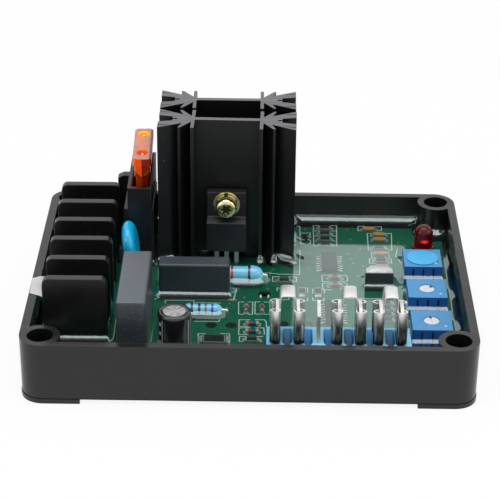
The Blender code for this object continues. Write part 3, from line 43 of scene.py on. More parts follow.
# Sizes that the fine surfaces share with the solids, in metres
OUTER = np.array([106.0, 82.5]) * MM
INNER = OUTER - 4.0 * MM
HOLE_MIDDLE = OUTER / 2 - 4.9 * MM
TRAY_TOP, TRAY_FLOOR, FOOT = 15.4 * MM, 3.2 * MM, 1.2 * MM
BOARD_TOP, RESIN_TOP, STAND = 6.7 * MM, 8.2 * MM, 7.0 * MM
CORNER_BEND, BOSS_RADIUS, BORE_RADIUS = 5.4 * MM, 4.7 * MM, 3.1 * MM
BOARD_LOW, LEAD_END, RESIN_LOW, BOLT_HEIGHT = 5.1 * MM, 5.2 * MM, 5.6 * MM, 23.7 * MM
CHIP_LOW, SHEET = BOARD_TOP + 0.05 * MM, 0.3 * MM

# Places, pitches and heights of the parts, in millimetres
SINK_X, SINK_ROWS, SINK_HEIGHT = -6.4, (20.5, 33.2), 38.2
CAN, LAMP, PASS_PLACE = (-17.5, -29.7), (44.0, 20.85), (31.9, 4.5)
TAB_ROW, TAB_PITCH, TAB_Y, PIN_PITCH = (20.9, -26.85), 4.83, -27.2, 1.27
FUSE, FUSE_LEAN = (-27.88, 25.0), 0.0227
TRIMMER_X, TRIMMER_ROWS, TRIMMER_TOP, TRIMMER_HALF = 43.185, (11.75, -4.25, -20.25), 11.6, 4.77


# ---------------------------------------------------------------- shapes from arrays

def mm(*values):
    """Millimetres as an array of metres."""
    return np.array(values, float) * MM


def stand(height):
    """A height in millimetres over the seats of the parts, in metres."""
    return STAND + height * MM


def arc(radius, start, sweep, steps, centre=(0.0, 0.0)):
    """Points at even angles along a circle, both ends included."""
    t = np.radians(start + sweep * np.arange(steps + 1) / steps)
    return np.stack([centre[0] + radius * np.cos(t), centre[1] + radius * np.sin(t)], -1)


def rounded(width, depth, radius, steps, centre=(0.0, 0.0)):
    """A rectangle whose corners are quarter circles about their own middles."""
    parts = []
    for k, (i, j) in enumerate(((1, 1), (-1, 1), (-1, -1), (1, -1))):
        middle = centre[0] + i * (width / 2 - radius), centre[1] + j * (depth / 2 - radius)
        parts.append(arc(radius, 90.0 * k, 90.0, steps, middle))
    return np.concatenate(parts)


def mitres(outline, closed=True):
    """The outward step at each point that moves both its edges out by one."""
    edge = np.roll(outline, -1, 0) - outline
    if not closed:
        edge[-1] = edge[-2]
    normal = np.stack([edge[:, 1], -edge[:, 0]], -1)
    normal /= np.linalg.norm(normal, axis=1, keepdims=True)
    before = np.roll(normal, 1, 0)
    if not closed:
        before[0] = normal[0]
    return (normal + before) / (1.0 + (normal * before).sum(1, keepdims=True))


def quads(rows, cols, wrap_cols, wrap_rows=False):
    """Corner numbers of the squares of a grid that is stored row by row."""
    i, j = np.meshgrid(np.arange(rows - (not wrap_rows)), np.arange(cols - (not wrap_cols)),
                       indexing="ij")
    low, high = i * cols, (i + 1) % rows * cols
    right = (j + 1) % cols
    return np.stack([low + j, low + right, high + right, high + j], -1).reshape(-1, 4).tolist()


def border(grid):
    """The outermost entries of a grid, in order round it."""
    return np.concatenate([grid[0], grid[1:, -1], grid[-1, -2::-1], grid[-2:0:-1, 0]])


def shell(grid, wrap=True, caps=True, wrap_rows=False):
    """A grid of points as a surface, closed at its first and last row when it has caps."""
    rows, cols = grid.shape[:2]
    faces = quads(rows, cols, wrap, wrap_rows)
    if caps and not wrap_rows:
        faces += [list(range(cols))[::-1], list(range((rows - 1) * cols, rows * cols))]
    return grid.reshape(-1, 3), faces


def along(points, axis):
    """Turns points so that their third coordinate runs along the named axis."""
    order = {"Z": (0, 1, 2), "X": (2, 0, 1), "Y": (0, 2, 1)}[axis]
    return points[..., list(order)]


def slab(outline, low, high, edge=0.0, steps=3, axis="Z"):
    """An outline carried from low to high; at both ends it draws in along a quarter circle."""
    t = np.linspace(0.0, np.pi / 2, steps + 1) if edge else np.array([np.pi / 2])
    inset = edge * (1.0 - np.sin(t))
    rise = edge * (1.0 - np.cos(t))
    inset = np.concatenate([inset, inset[::-1]])
    height = np.concatenate([low + rise, (high - rise)[::-1]])
    flat = outline[None] - mitres(outline)[None] * inset[:, None, None]
    grid = np.concatenate([flat, np.broadcast_to(height[:, None, None], flat.shape[:2] + (1,))], -1)
    return shell(along(grid, axis))


def turned(profile, steps, centre, axis="Z", ripple=0.0):
    """A (radius, height) profile carried round an axis; ripple swells it three times a turn."""
    profile = np.asarray(profile, float)
    t = np.arange(steps) * TURN / steps
    swell = 1.0 + ripple * np.sin(3 * t + 0.7)
    radius = profile[:, :1] * swell[None]
    grid = np.stack([radius * np.cos(t), radius * np.sin(t),
                     np.broadcast_to(profile[:, 1:], radius.shape)], -1)
    return shell(along(grid, axis) + np.asarray(centre, float), caps=False)


def tube(path, radius, sides):
    """A circle carried along a path, kept square to it; radius may differ at each point."""
    path = np.asarray(path, float)
    step = np.gradient(path, axis=0)
    step /= np.linalg.norm(step, axis=1, keepdims=True)
    guide = np.array([0.0, 1.0, 0.0]) if abs(step[:, 1]).max() < 0.9 else np.array([1.0, 0.0, 0.0])
    side = np.cross(step, guide)
    side /= np.linalg.norm(side, axis=1, keepdims=True)
    up = np.cross(side, step)
    t = np.arange(sides) * TURN / sides
    radius = np.broadcast_to(np.asarray(radius, float), (len(path),))[:, None, None]
    grid = path[:, None] + radius * (side[:, None] * np.cos(t)[None, :, None]
                                     + up[:, None] * np.sin(t)[None, :, None])
    return shell(grid)


def strip(line, thickness):
    """The closed outline of a bent sheet: its middle line stepped to both sides."""
    line = np.asarray(line, float)
    step = mitres(line, closed=False) * thickness / 2
    return np.concatenate([line + step, (line - step)[::-1]])


def smooth_line(points, count, rounds):
    """A line through points with its corners cut round and round, then evenly spaced."""
    line = np.asarray(points, float)
    for _ in range(rounds):
        cut = np.stack([line[:-1] * 0.75 + line[1:] * 0.25, line[:-1] * 0.25 + line[1:] * 0.75], 1)
        line = np.concatenate([line[:1], cut.reshape(-1, line.shape[1]), line[-1:]])
    reach = np.concatenate([[0.0], np.cumsum(np.linalg.norm(np.diff(line, axis=0), axis=1))])
    even = np.linspace(0.0, reach[-1], count)
    return np.stack([np.interp(even, reach, line[:, k]) for k in range(line.shape[1])], -1)


def moved(shape, offset=(0.0, 0.0, 0.0), turn=0.0, lean=0.0):
    """A shape leant about Y, turned about Z and then shifted."""
    spin = Matrix.Rotation(np.radians(turn), 3, "Z") @ Matrix.Rotation(np.radians(lean), 3, "Y")
    return shape[0] @ np.array(spin).T + np.asarray(offset, float), shape[1]


def joined(shapes):
    """Several shapes as one list of points and faces."""
    points, faces, count = [], [], 0
    for more, more_faces in shapes:
        points.append(more)
        faces += [[count + k for k in face] for face in more_faces]
        count += len(more)
    return np.concatenate(points), faces


def linked(name, data):
    """A new object that holds the data, in the scene."""
    obj = bpy.data.objects.new(name, data)
    bpy.context.scene.collection.objects.link(obj)
    return obj


def piece(name, shapes, paint, replaces=(), body=BODY, sharp=38.0, weld=True):
    """One object from shapes: seams welded, faces turned out, shaded smooth up to an angle."""
    points, faces = joined(shapes)
    mesh = bpy.data.meshes.new(name)
    mesh.from_pydata(points.tolist(), [], faces)
    shape = bmesh.new()
    shape.from_mesh(mesh)
    if weld:
        bmesh.ops.remove_doubles(shape, verts=shape.verts, dist=1e-7)
    bmesh.ops.recalc_face_normals(shape, faces=shape.faces)
    shape.to_mesh(mesh)
    shape.free()
    mesh.shade_smooth()
    mesh.set_sharp_from_angle(angle=np.radians(sharp))
    mesh.materials.append(paints[paint])
    obj = linked(name, mesh)
    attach(obj, body)
    if replaces:
        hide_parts(*replaces)
    return obj


# ---------------------------------------------------------------- materials

class Paint:
    """Builds the nodes of one material, or of a world, and joins them."""

    def __init__(self, name, kind="Material"):
        store = bpy.data.worlds if kind == "World" else bpy.data.materials
        self.mat = store.new(name)
        self.mat.use_nodes = True
        self.tree = self.mat.node_tree
        self.tree.nodes.clear()
        self.out = self.add("Output" + kind)
        self.place = self.add("TexCoord").outputs["Object"]

    def add(self, kind, settings=None, **inputs):
        """A node whose inputs are set by name, with _ for a space; a socket is linked."""
        node = self.tree.nodes.new("ShaderNode" + kind)
        for key, value in (settings or {}).items():
            setattr(node, key, value)
        for key, value in inputs.items():
            self.fill(node.inputs[key.replace("_", " ")], value)
        return node

    def fill(self, socket, value):
        if isinstance(value, bpy.types.NodeSocket):
            self.tree.links.new(value, socket)
        elif isinstance(value, tuple) and socket.type == "RGBA" and len(value) == 3:
            socket.default_value = (*value, 1.0)
        else:
            socket.default_value = value

    def math(self, operation, one, two=0.0, three=0.0):
        node = self.tree.nodes.new("ShaderNodeMath")
        node.operation = operation
        for socket, value in zip(node.inputs, (one, two, three)):
            self.fill(socket, value)
        return node.outputs[0]

    def mix(self, factor, one, two):
        node = self.tree.nodes.new("ShaderNodeMix")
        node.data_type = "RGBA"
        for k, value in ((0, factor), (6, one), (7, two)):
            self.fill(node.inputs[k], value)
        return node.outputs[2]

    def noise(self, scale, detail=2.0, where=None, roughness=0.5):
        return self.add("TexNoise", Vector=where or self.place, Scale=scale, Detail=detail,
                        Roughness=roughness).outputs["Fac"]

    def range(self, value, low, high, to_low=0.0, to_high=1.0):
        node = self.add("MapRange", Value=value)
        for key, number in zip(("From Min", "From Max", "To Min", "To Max"),
                               (low, high, to_low, to_high)):
            self.fill(node.inputs[key], number)
        return node.outputs[0]

    def stretched(self, *scale):
        """The object's coordinates, scaled along each axis."""
        return self.add("Mapping", Vector=self.place, Scale=scale).outputs[0]

    def axes(self, where=None):
        return self.add("SeparateXYZ", Vector=where or self.place).outputs

    def within(self, value, low, high):
        """One between two values and nought outside them."""
        return self.times(self.over(value, low), self.under(value, high))

    def times(self, one, two):
        return self.math("MULTIPLY", one, two)

    def over(self, value, low):
        return self.math("GREATER_THAN", value, low)

    def under(self, value, high):
        return self.math("LESS_THAN", value, high)

    def ellipse(self, along, half, across, wide):
        """The squares of two distances, each as a share of a reach in mm, added."""
        u, v = self.math("DIVIDE", along, half * MM), self.math("DIVIDE", across, wide * MM)
        return self.math("ADD", self.times(u, u), self.times(v, v))

    def bump(self, height, depth, strength, edge=0.0):
        """A surface raised by a depth in mm; edge rounds its edges to that radius in mm."""
        node = self.add("Bump", Height=height, Strength=strength, Distance=depth * MM)
        if edge:
            soft = self.add("Bevel", {"samples": 6}, Radius=edge * MM)
            self.fill(node.inputs["Normal"], soft.outputs[0])
        return node.outputs[0]

    def grain(self, scale, depth, strength, edge=0.0, detail=2.0):
        """A bump of plain noise."""
        return self.bump(self.noise(scale, detail), depth, strength, edge)

    def seen(self):
        """One for rays from the camera, from mirrors and through clear skins, or else nought."""
        path = self.add("LightPath").outputs
        mirrored = self.math("MAXIMUM", path["Is Glossy Ray"], path["Is Transmission Ray"])
        return self.math("MAXIMUM", path["Is Camera Ray"], mirrored)

    def shade(self, **inputs):
        return self.show(self.add("BsdfPrincipled", **inputs).outputs[0])

    def show(self, shader):
        self.fill(self.out.inputs["Surface"], shader)
        return self.mat


def scaled(colour, share):
    """A colour made darker or lighter."""
    return tuple(c * share for c in colour)


def moulding(name, colour, rough, grain=0.03, scale=1400.0, edge=0.0, level=0.5, coat=0.0):
    """Moulded plastic: a fine grain in bump, soft clouds in colour and in roughness."""
    p = Paint(name)
    clouds = p.noise(90.0, 3.0)
    fine = p.noise(scale)
    dark = scaled(colour, 0.82)
    light = tuple(min(c * 1.14, 1.0) for c in colour)
    return p.shade(
        Base_Color=p.mix(clouds, dark, light),
        Roughness=p.range(clouds, 0.3, 0.7, rough * 0.85, rough * 1.15),
        Specular_IOR_Level=level, Coat_Weight=coat, Coat_Roughness=0.08,
        Normal=p.bump(fine, grain, 0.6, edge))


def metal(name, colour, rough, stretch=(1.0, 1.0, 1.0), scale=900.0, edge=0.0):
    """Bare or plated metal: fine lines drawn out along one axis, and faint stains."""
    p = Paint(name)
    drawn = p.stretched(*stretch)
    lines = p.noise(scale, 3.0, drawn)
    stain = p.noise(220.0, 3.0)
    dull = scaled(colour, 0.72)
    return p.shade(
        Base_Color=p.mix(p.range(stain, 0.42, 0.7), colour, dull), Metallic=1.0,
        Roughness=p.range(lines, 0.3, 0.7, rough * 0.7, rough * 1.3),
        Normal=p.bump(lines, 0.01, 0.5, edge))


def link_tin():
    """Satin tin plate: calm, with a few soft stains and a faint drawn grain; its colour is painted
    by height, near black low down as painted shade, near white higher up as a painted reflection,
    and greyer over the crown.
    """
    p = Paint("link_tin")
    drawn = p.noise(420.0, where=p.stretched(1.0, 1.0, 0.1))
    stain = p.range(p.noise(260.0, 3.0), 0.5, 0.75)
    z = p.axes()[2]
    crown = p.range(z, stand(8.0), stand(14.6))
    # painted reflection: the upper part's tin is near white, and greyer over the crown
    bright = p.mix(stain, (0.95, 0.945, 0.93), (0.86, 0.85, 0.83))
    bright = p.mix(p.range(z, stand(12.0), stand(13.0)), bright,
                   p.mix(stain, (0.7, 0.695, 0.685), (0.6, 0.595, 0.585)))
    return p.shade(
        # painted shade: near black at the foot, shading up into the painted reflection above
        Base_Color=p.mix(p.range(z, stand(4.5), stand(9.5)), (0.05, 0.052, 0.054), bright),
        Metallic=1.0,
        Roughness=p.math("MULTIPLY_ADD", crown, 0.24, p.range(drawn, 0.3, 0.7, 0.235, 0.275)),
        Normal=p.bump(drawn, 0.001, 0.3))


def solder_paint(name, colour):
    """Solder seen through resin: dull grey with lighter and darker grains."""
    p = Paint(name)
    grain = p.range(p.noise(1500.0), 0.35, 0.65)
    return p.shade(
        Base_Color=p.mix(grain, scaled(colour, 0.6), scaled(colour, 1.4)),
        Metallic=0.3, Roughness=0.45, Specular_IOR_Level=0.1, Normal=p.grain(1100.0, 0.04, 0.6))


def tray_paint():
    """Black moulded plastic with a low sheen and a few faint scuffs on its rim."""
    p = Paint("tray_moulding")
    clouds = p.noise(60.0, 4.0)
    scratch = p.noise(300.0, 4.0, p.stretched(0.15, 2.5, 1.0))
    high = p.range(p.axes()[2], TRAY_TOP - 0.3 * MM, TRAY_TOP - 0.1 * MM)
    scuff = p.times(p.range(scratch, 0.62, 0.72), high)
    colour = p.mix(clouds, (0.0075, 0.0075, 0.008), (0.012, 0.012, 0.0125))
    return p.shade(
        Base_Color=p.mix(scuff, colour, (0.04, 0.04, 0.042)),
        Roughness=p.range(clouds, 0.3, 0.7, 0.2, 0.27), Specular_IOR_Level=0.45,
        Normal=p.grain(1500.0, 0.012, 0.4))


def board_paint():
    """Green solder mask over the laminate, cloudy where copper lies under it."""
    p = Paint("board")
    clouds = p.noise(120.0, 3.0)
    weave = p.noise(900.0)
    return p.shade(
        Base_Color=p.mix(clouds, (0.004, 0.105, 0.058), (0.007, 0.145, 0.08)),
        Roughness=p.range(weave, 0.3, 0.7, 0.4, 0.5), Specular_IOR_Level=0.06,
        Normal=p.bump(weave, 0.02, 0.3))


def resin_paint():
    """Clear cast resin: see-through from within, with a glossy skin towards the outside."""
    p = Paint("resin")
    clear = p.add("BsdfTransparent", Color=(0.93, 0.985, 0.965)).outputs[0]
    wave = p.grain(38.0, 0.04, 0.1, detail=1.0)
    gloss = p.add("BsdfGlossy", Color=(0.87, 1.0, 1.0), Roughness=0.07, Normal=wave).outputs[0]
    lean = p.add("LayerWeight", Blend=0.5, Normal=wave).outputs["Facing"]
    facing = p.math("MULTIPLY_ADD", p.times(lean, lean), 0.43, 0.105)
    back = p.add("NewGeometry").outputs["Backfacing"]
    mixed = p.add("MixShader", Fac=p.times(facing, p.math("SUBTRACT", 1.0, back)))
    p.fill(mixed.inputs[1], clear)
    p.fill(mixed.inputs[2], gloss)
    return p.show(mixed.outputs[0])


def anodised_paint():
    """Black anodising with drawn lines, bare at the sawn ends and in rare specks."""
    p = Paint("anodised")
    z = p.axes()[2]
    lines = p.noise(1500.0, where=p.stretched(1.0, 1.0, 0.03))
    end = p.over(z, stand(SINK_HEIGHT) - 0.02 * MM)
    saw = p.noise(700.0, 3.0, p.stretched(0.12, 3.0, 1.0))
    specks = p.range(p.noise(520.0, 1.0), 0.82, 0.84, 0.0, 0.6)
    black = p.mix(lines, (0.0035, 0.0035, 0.004), (0.009, 0.009, 0.01))
    bare = p.mix(saw, (0.1, 0.1, 0.11), (0.26, 0.26, 0.27))
    worn = p.math("MAXIMUM", end, specks)
    return p.shade(
        Base_Color=p.mix(worn, black, bare), Metallic=p.range(worn, 0.0, 1.0, 0.1, 0.8),
        Roughness=p.range(worn, 0.0, 1.0, 0.34, 0.5), Specular_IOR_Level=0.42,
        Normal=p.bump(lines, 0.015, 0.6, 0.05))


def zinc_paint():
    """Yellow passivated zinc: gold that shifts to green and rose in soft patches."""
    p = Paint("yellow_zinc")
    hue = p.add("ValToRGB", Fac=p.noise(420.0))
    ramp = hue.color_ramp
    ramp.elements[0].color = (0.55, 0.45, 0.2, 1.0)
    ramp.elements[-1].color = (0.6, 0.6, 0.4, 1.0)
    for place, colour in ((0.36, (0.62, 0.5, 0.2)), (0.46, (0.8, 0.72, 0.42)),
                          (0.54, (0.62, 0.7, 0.4)), (0.64, (0.78, 0.48, 0.42))):
        ramp.elements.new(place).color = (*colour, 1.0)
    return p.shade(
        Base_Color=hue.outputs[0], Metallic=1.0, Roughness=0.2,
        Normal=p.grain(1500.0, 0.01, 0.4))


def case_paint(name, colour, rough, painted_top_light):
    """Cast case plastic: pits here and there, softened edges, and faces that look up painted
    lighter as painted light from above.
    """
    p = Paint(name)
    clouds = p.noise(150.0, 3.0)
    pits = p.range(p.noise(2300.0, 1.0), 0.68, 0.76)
    up = p.axes(p.add("NewGeometry").outputs["Normal"])[2]
    plain = p.mix(clouds, colour, scaled(colour, 1.25))
    # painted light: faces that look up are painted lighter than the sides
    plain = p.mix(p.range(up, 0.5, 0.9), plain, scaled(colour, painted_top_light))
    dusty = scaled(scaled(colour, painted_top_light), 1.8)
    return p.shade(
        Base_Color=p.mix(pits, plain, dusty),
        Roughness=p.range(clouds, 0.3, 0.7, rough * 0.85, rough * 1.1), Specular_IOR_Level=0.5,
        Normal=p.grain(1300.0, 0.03, 0.5, 0.35))


def package_paint():
    """Black package moulding, duller on its tab, over tinned leads below the body."""
    p = Paint("package")
    z = p.axes()[2]
    low = p.under(z, stand(3.78))
    high = p.over(z, stand(13.75))
    mould = p.mix(p.noise(200.0), (0.006, 0.0065, 0.009), (0.011, 0.012, 0.015))
    mould = p.mix(high, mould, (0.002, 0.002, 0.002))
    return p.shade(
        Base_Color=p.mix(low, mould, (0.5, 0.51, 0.52)), Metallic=low,
        Roughness=p.math("ADD", p.range(low, 0.0, 1.0, 0.4, 0.28), p.times(high, 0.25)),
        Normal=p.grain(2200.0, 0.03, 0.5, 0.12))


def pass_paint():
    """Dark moulding whose top is painted a pale, cloudy grey as a painted reflection."""
    p = Paint("pass_moulding")
    # painted reflection: the top is coloured a pale cloudy grey
    top = p.range(p.axes()[2], stand(4.8), stand(5.15))
    painted_top_light = p.mix(p.range(p.noise(420.0, 3.0), 0.35, 0.65), (0.45, 0.46, 0.47), (0.78, 0.8, 0.82))
    return p.shade(
        Base_Color=p.mix(top, (0.012, 0.018, 0.022), painted_top_light), Roughness=0.36, Specular_IOR_Level=0.5,
        Coat_Weight=0.3, Coat_Roughness=0.08, Normal=p.grain(2200.0, 0.03, 0.5))


def banded(name, bands):
    """Pale blue coating with painted colour bands at set places along X."""
    p = Paint(name)
    x = p.axes()[0]
    coat = p.mix(p.noise(260.0), (0.15, 0.58, 0.86), (0.2, 0.66, 0.92))
    for middle, width, colour in bands:
        wander = p.math("MULTIPLY_ADD", p.noise(500.0), 0.12 * MM, x)
        low, high = (middle - width / 2) * MM, (middle + width / 2) * MM
        here = p.within(wander, low + 0.06 * MM, high + 0.06 * MM)
        coat = p.mix(here, coat, colour)
    return p.shade(
        Base_Color=coat, Roughness=0.16, Specular_IOR_Level=0.5, Coat_Weight=0.5,
        Coat_Roughness=0.05, Normal=p.grain(160.0, 0.04, 0.3))


def round_can(p):
    """Coordinates from the can's axis, and the angle round it."""
    at = p.axes(p.add("Mapping", Vector=p.place,
                      Location=(-CAN[0] * MM, -CAN[1] * MM, 0.0)).outputs[0])
    return at, p.math("ARCTAN2", at[1], at[0])


def sleeve_paint():
    """Shrunk black sleeve with one pale printed stripe and a band of plain dashes."""
    p = Paint("sleeve")
    at, angle = round_can(p)
    side = p.under(at[2], stand(10.4))
    line = p.within(angle, -0.64, -0.57)
    band = p.within(angle, -2.35, -2.3)
    edge = p.within(angle, -2.75, -2.7)
    dash = p.times(p.within(angle, -2.62, -2.43),
                   p.over(p.math("FRACT", p.times(at[2], 420.0)), 0.62))
    mark = p.math("MAXIMUM", p.math("MAXIMUM", line, band), p.math("MAXIMUM", edge, dash))
    mark = p.times(mark, side)
    black = p.mix(p.noise(200.0), (0.009, 0.009, 0.01), (0.014, 0.014, 0.016))
    return p.shade(
        Base_Color=p.mix(mark, black, (0.55, 0.56, 0.58)), Roughness=0.2, Coat_Weight=0.4,
        Coat_Roughness=0.05, Normal=p.grain(130.0, 0.05, 0.35))


def trimmer_paint():
    """Blue moulding with a fine sparkle; its top is painted lighter than its sides as painted
    light, and its three front grooves are darkened as painted shade.
    """
    p = Paint("trimmer_plastic")
    x, y, z = p.axes()
    # painted shade: the three front grooves are darkened below the top
    painted_groove_shade = p.under(z, stand(0.84 * 4.6))
    left, middle, right = (p.within(x, at * MM, (at + 0.5) * MM) for at in (40.4, 42.93, 45.47))
    column = p.math("ADD", left, p.math("ADD", middle, right))
    painted_groove_shade = p.times(painted_groove_shade, column)
    for row in TRIMMER_ROWS:
        inside = p.within(y, (row - 8.765) * MM, (row - 4.735) * MM)
        painted_groove_shade = p.times(painted_groove_shade, p.math("SUBTRACT", 1.0, inside))
    fine = p.noise(2300.0, 1.0)
    face = p.over(z, stand(4.57))
    # painted light: the top and the sides are lit and shaded copies of one blue
    side, top = (0.009, 0.11, 0.42), (0.06, 0.3, 0.62)
    blue = p.mix(p.noise(110.0), p.mix(face, side, top),
                 p.mix(face, (0.012, 0.135, 0.5), (0.08, 0.35, 0.68)))
    blue = p.mix(p.range(fine, 0.26, 0.4, 0.75, 0.0), blue, (0.006, 0.08, 0.36))
    return p.shade(
        Base_Color=p.mix(painted_groove_shade, blue, (0.001, 0.012, 0.07)),
        Roughness=p.range(fine, 0.3, 0.7, 0.4, 0.5),
        Specular_IOR_Level=0.5, Normal=p.bump(fine, 0.02, 0.4, 0.15))


def lid_paint():
    """Spun aluminium: wedges of lighter and darker sheen painted into its colour round the middle
    of the lid.
    """
    p = Paint("can_lid")
    angle = round_can(p)[1]
    turn = p.add("CombineXYZ", X=p.math("COSINE", angle), Y=p.math("SINE", angle)).outputs[0]
    # painted reflection: wedges of lighter and darker colour round the lid's middle
    wedge = p.range(p.noise(4.2, 3.0, turn, 0.7), 0.36, 0.62)
    return p.shade(
        Base_Color=p.mix(wedge, (0.2, 0.2, 0.21), (0.66, 0.66, 0.67)), Metallic=0.55,
        Roughness=0.42, Normal=p.grain(900.0, 0.01, 0.4))


def glass_bead(name, colour):
    """Tinted glass of a diode body."""
    p = Paint(name)
    tint = p.mix(p.noise(600.0), colour, scaled(colour, 0.7))
    return p.shade(Base_Color=tint, Roughness=0.2, Specular_IOR_Level=0.1)


def fuse_paint():
    """Orange plastic: frosted top, eyes over the blades painted bright and glowing, the left side
    painted lit through and glowing, and painted shade on the rest of the body, at the foot and
    below the shoulders.
    """
    p = Paint("fuse_orange")
    x, y, z = p.axes()
    across = p.math("ADD", p.math("ADD", x, -FUSE[0] * MM),
                    p.times(p.math("SUBTRACT", y, FUSE[1] * MM), FUSE_LEAN))
    # painted light and shade: the left side is painted bright as if lit through, the rest darker as
    # painted shade
    left = p.range(across, -0.15 * MM, 0.1 * MM, 1.0, 0.0)
    right = p.range(across, 0.35 * MM, 0.6 * MM)
    cloud = p.noise(330.0, 3.0)
    body = p.mix(left, (0.16, 0.035, 0.008), p.mix(cloud, (0.9, 0.1, 0.0), (0.6, 0.05, 0.0)))
    body = p.mix(right, body, p.mix(cloud, (0.22, 0.008, 0.002), (0.5, 0.03, 0.002)))
    # painted shade on the front below the shoulders, with a painted highlight along their edge on
    # the right
    drop = p.math("SUBTRACT", z, p.math("ADD", p.math("ABSOLUTE", across), stand(23.9)))
    front = p.under(y, 18.0 * MM)
    below = p.times(p.range(drop, -0.12 * MM, 0.12 * MM, 1.0, 0.0), front)
    body = p.mix(p.times(below, 0.7), body, (0.12, 0.008, 0.002))
    painted_crease_highlight = p.times(p.within(drop, -0.12 * MM, 0.2 * MM), p.times(front, right))
    body = p.mix(painted_crease_highlight, body, (0.75, 0.1, 0.01))
    # painted shade: near black towards the foot
    foot = p.range(z, stand(17.5), stand(20.5), 0.35, 1.0)
    body = p.mix(foot, (0.06, 0.003, 0.001), body)
    top = p.mix(p.range(cloud, 0.4, 0.6), (0.6, 0.26, 0.2), (0.78, 0.31, 0.17))
    # a brighter orange patch in the middle of the top
    centre = p.times(p.within(y, 22.0 * MM, 27.4 * MM), p.within(across, -1.1 * MM, 1.15 * MM))
    top = p.mix(p.times(centre, 0.4), top, (1.0, 0.24, 0.04))
    # painted shade along the top's right edge
    top = p.mix(p.range(across, 1.7 * MM, 1.9 * MM), top, (0.22, 0.02, 0.008))
    tint = p.mix(p.over(z, stand(29.25)), body, top)
    # painted light: the left side glows, less below the shoulders and towards the foot
    lit = p.times(left, p.under(z, stand(29.2)))
    lit = p.times(lit, p.math("SUBTRACT", 1.0, p.times(below, 0.6)))
    glow = p.math("MULTIPLY_ADD", p.times(lit, foot), 0.4, 0.04)
    # painted light: each eye over a blade is painted bright and made to glow
    for middle, colour in ((31.1, (1.0, 0.5, 0.0)), (19.6, (0.85, 0.1, 0.0))):
        reach = p.ellipse(across, 1.58, p.math("SUBTRACT", y, middle * MM), 1.8)
        eye = p.times(p.range(reach, 0.9, 1.05, 1.0, 0.0), p.over(z, stand(25.0)))
        tint = p.mix(eye, tint, p.mix(p.range(reach, 0.55, 0.9), colour, scaled(colour, 0.6)))
        glow = p.math("MAXIMUM", glow, p.times(eye, 0.45))
    return p.shade(
        Base_Color=tint, Roughness=0.2, Transmission_Weight=0.08, IOR=1.45, Emission_Color=tint,
        Emission_Strength=glow, Normal=p.grain(260.0, 0.03, 0.3, 0.3))


def lens_paint():
    """Deep red tinted lens with a small painted lit patch low on its front, made to glow."""
    p = Paint("lamp_red")
    x, y, z = p.axes()
    tint = p.mix(p.noise(90.0), (0.1, 0.003, 0.004), (0.14, 0.004, 0.005))
    # painted light: a small patch low on the front is painted bright red and made to glow
    right, up = p.math("SUBTRACT", x, (LAMP[0] + 0.15) * MM), p.math("SUBTRACT", z, stand(5.65))
    reach = p.math("SQRT", p.ellipse(right, 0.85, up, 0.4))
    glow = p.times(p.range(reach, 0.3, 1.5, 1.0, 0.0), p.under(y, LAMP[1] * MM))
    return p.shade(
        Base_Color=p.mix(glow, tint, (0.9, 0.02, 0.0)), Roughness=0.04, Transmission_Weight=0.12,
        IOR=1.45, Specular_IOR_Level=0.25, Emission_Color=(1.0, 0.02, 0.0),
        Emission_Strength=p.times(glow, 0.8))


def base_paint():
    """Pale blue nylon whose scooped floors are painted darker the lower they lie, as painted shade.
    """
    p = Paint("base_plastic")
    z = p.axes()[2]
    cloud = p.noise(180.0)
    # painted shade: the scoops darken towards their floors
    painted_scoop_shade = p.mix(p.range(z, stand(1.0), stand(3.1)), (0.001, 0.05, 0.17), (0.006, 0.25, 0.56))
    pale = p.mix(cloud, (0.22, 0.63, 0.9), (0.28, 0.7, 0.95))
    rise = p.range(z, stand(3.15), stand(3.46))
    return p.shade(
        Base_Color=p.mix(rise, painted_scoop_shade, pale), Roughness=0.25, Specular_IOR_Level=0.5,
        Normal=p.grain(900.0, 0.02, 0.4, 0.2))


